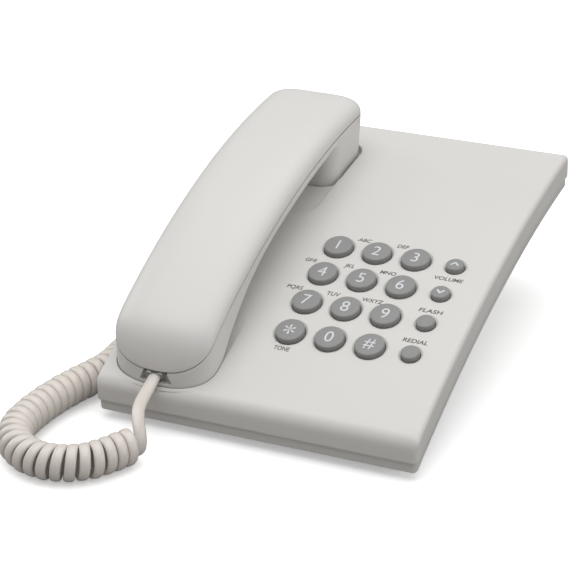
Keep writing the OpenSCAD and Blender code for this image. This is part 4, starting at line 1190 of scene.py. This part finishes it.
# ---------------------------------------------------------------- materials of the CAD nodes that stay
CAD_MATERIALS = {
    lower_mat: ["lower_housing", "desk_stand"],
    housing_mat: ["handset_hook"],
    rubber_mat: ["rubber_feet", "receiver_ring", "microphone_boot"],
    steel_mat: ["housing_screws", "hook_spring", "handset_weight", "handset_screws", "slide_switches", "microphone"],
    board_mat: ["main_board"],
    membrane_mat: ["keypad_membrane"],
    inner_mat: ["hook_plunger"],
    knob_mat: ["ringer_knob", "mode_knob"],
    black_mat: ["hook_switch", "ringer_sounder", "line_jack", "cord_jack", "handset_jack", "receiver"],
    plug_mat: ["cord_plug_base", "cord_plug_handset"],
}
for material, names in CAD_MATERIALS.items():
    for name in names:
        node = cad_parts[name]
        node.data.materials.clear()
        node.data.materials.append(material)


# ---------------------------------------------------------------- floor, light, camera
def seen_by_camera(nt, seen, other):
    """A colour that differs between what the camera sees and what bounces on."""
    path = nt.nodes.new("ShaderNodeLightPath")
    mix = nt.nodes.new("ShaderNodeMix")
    mix.data_type = "RGBA"
    nt.links.new(path.outputs["Is Camera Ray"], mix.inputs[0])
    mix.inputs[6].default_value = (*other, 1)
    mix.inputs[7].default_value = (*seen, 1)
    return mix


def floor():
    m = bpy.data.materials.new("pale_floor")
    m.use_nodes = True
    b = m.node_tree.nodes["Principled BSDF"]
    tone = seen_by_camera(m.node_tree, (0.98, 0.98, 0.98), (0.36, 0.355, 0.35))
    m.node_tree.links.new(tone.outputs[2], b.inputs["Base Color"])
    glow = seen_by_camera(m.node_tree, (0.34, 0.34, 0.34), (0, 0, 0))
    m.node_tree.links.new(glow.outputs[2], b.inputs["Emission Color"])
    b.inputs["Emission Strength"].default_value = 1.0
    b.inputs["Roughness"].default_value = 0.9
    b.inputs["Specular IOR Level"].default_value = 0.1
    size = 8000
    obj = make("floor", [(-size, -size, 0), (size, -size, 0), (size, size, 0), (-size, size, 0)], [(0, 1, 2, 3)], [m])


def sky():
    """Soft studio surround: bright above, dim at the sides, white behind the object."""
    world = bpy.data.worlds.new("studio")
    world.use_nodes = True
    nt = world.node_tree
    coord = nt.nodes.new("ShaderNodeTexCoord")
    split = nt.nodes.new("ShaderNodeSeparateXYZ")
    rise = nt.nodes.new("ShaderNodeMapRange")
    rise.inputs["To Min"].default_value, rise.inputs["To Max"].default_value = 0.22, 0.80
    nt.links.new(coord.outputs["Generated"], split.inputs[0])
    nt.links.new(split.outputs["Z"], rise.inputs["Value"])
    tone = seen_by_camera(nt, (1, 1, 1), (0, 0, 0))
    nt.links.new(rise.outputs["Result"], tone.inputs[6])
    nt.links.new(tone.outputs[2], nt.nodes["Background"].inputs["Color"])
    bpy.context.scene.world = world


floor()
sky()
bpy.context.scene.view_settings.view_transform = "Standard"


def area(name, at, to, size, power):
    data = bpy.data.lights.new(name, "AREA")
    data.shape, data.size, data.energy = "DISK", size, power
    light = bpy.data.objects.new(name, data)
    light.location = at
    light.rotation_euler = (Vector(to) - Vector(at)).to_track_quat("-Z", "Y").to_euler()
    bpy.context.scene.collection.objects.link(light)


area("key_light", (0.02, 0.06, 1.4), (0, 0, 0), 1.9, 11.5)
area("right_fill", (1.25, -0.1, 0.45), (0, 0, 0.03), 0.9, 2.3)
area("left_fill", (-1.25, 0.1, 0.55), (-0.05, -0.05, 0.03), 0.9, 2.6)


def camera():
    azimuth, elevation, roll = math.radians(25.13), math.radians(27.12), math.radians(-2.0)
    distance, shift_x, shift_y, lens = 974.57, 26.02, 8.24, 135.54
    back = Vector((math.sin(azimuth) * math.cos(elevation), -math.cos(azimuth) * math.cos(elevation),
                   math.sin(elevation)))
    right = Vector((math.cos(azimuth), math.sin(azimuth), 0))
    up = back.cross(right)
    rr = right * math.cos(roll) + up * math.sin(roll)
    uu = up * math.cos(roll) - right * math.sin(roll)
    place = (Vector((0, 0, 40)) + back * distance - rr * shift_x - uu * shift_y) * MM
    data = bpy.data.cameras.new("camera")
    data.lens, data.sensor_width, data.clip_start = lens, 36, 0.01
    obj = bpy.data.objects.new("camera", data)
    obj.matrix_world = Matrix.Translation(place) @ Matrix((rr, uu, back)).transposed().to_4x4()
    bpy.context.scene.collection.objects.link(obj)
    bpy.context.scene.camera = obj


camera()
bpy.context.view_layer.update()
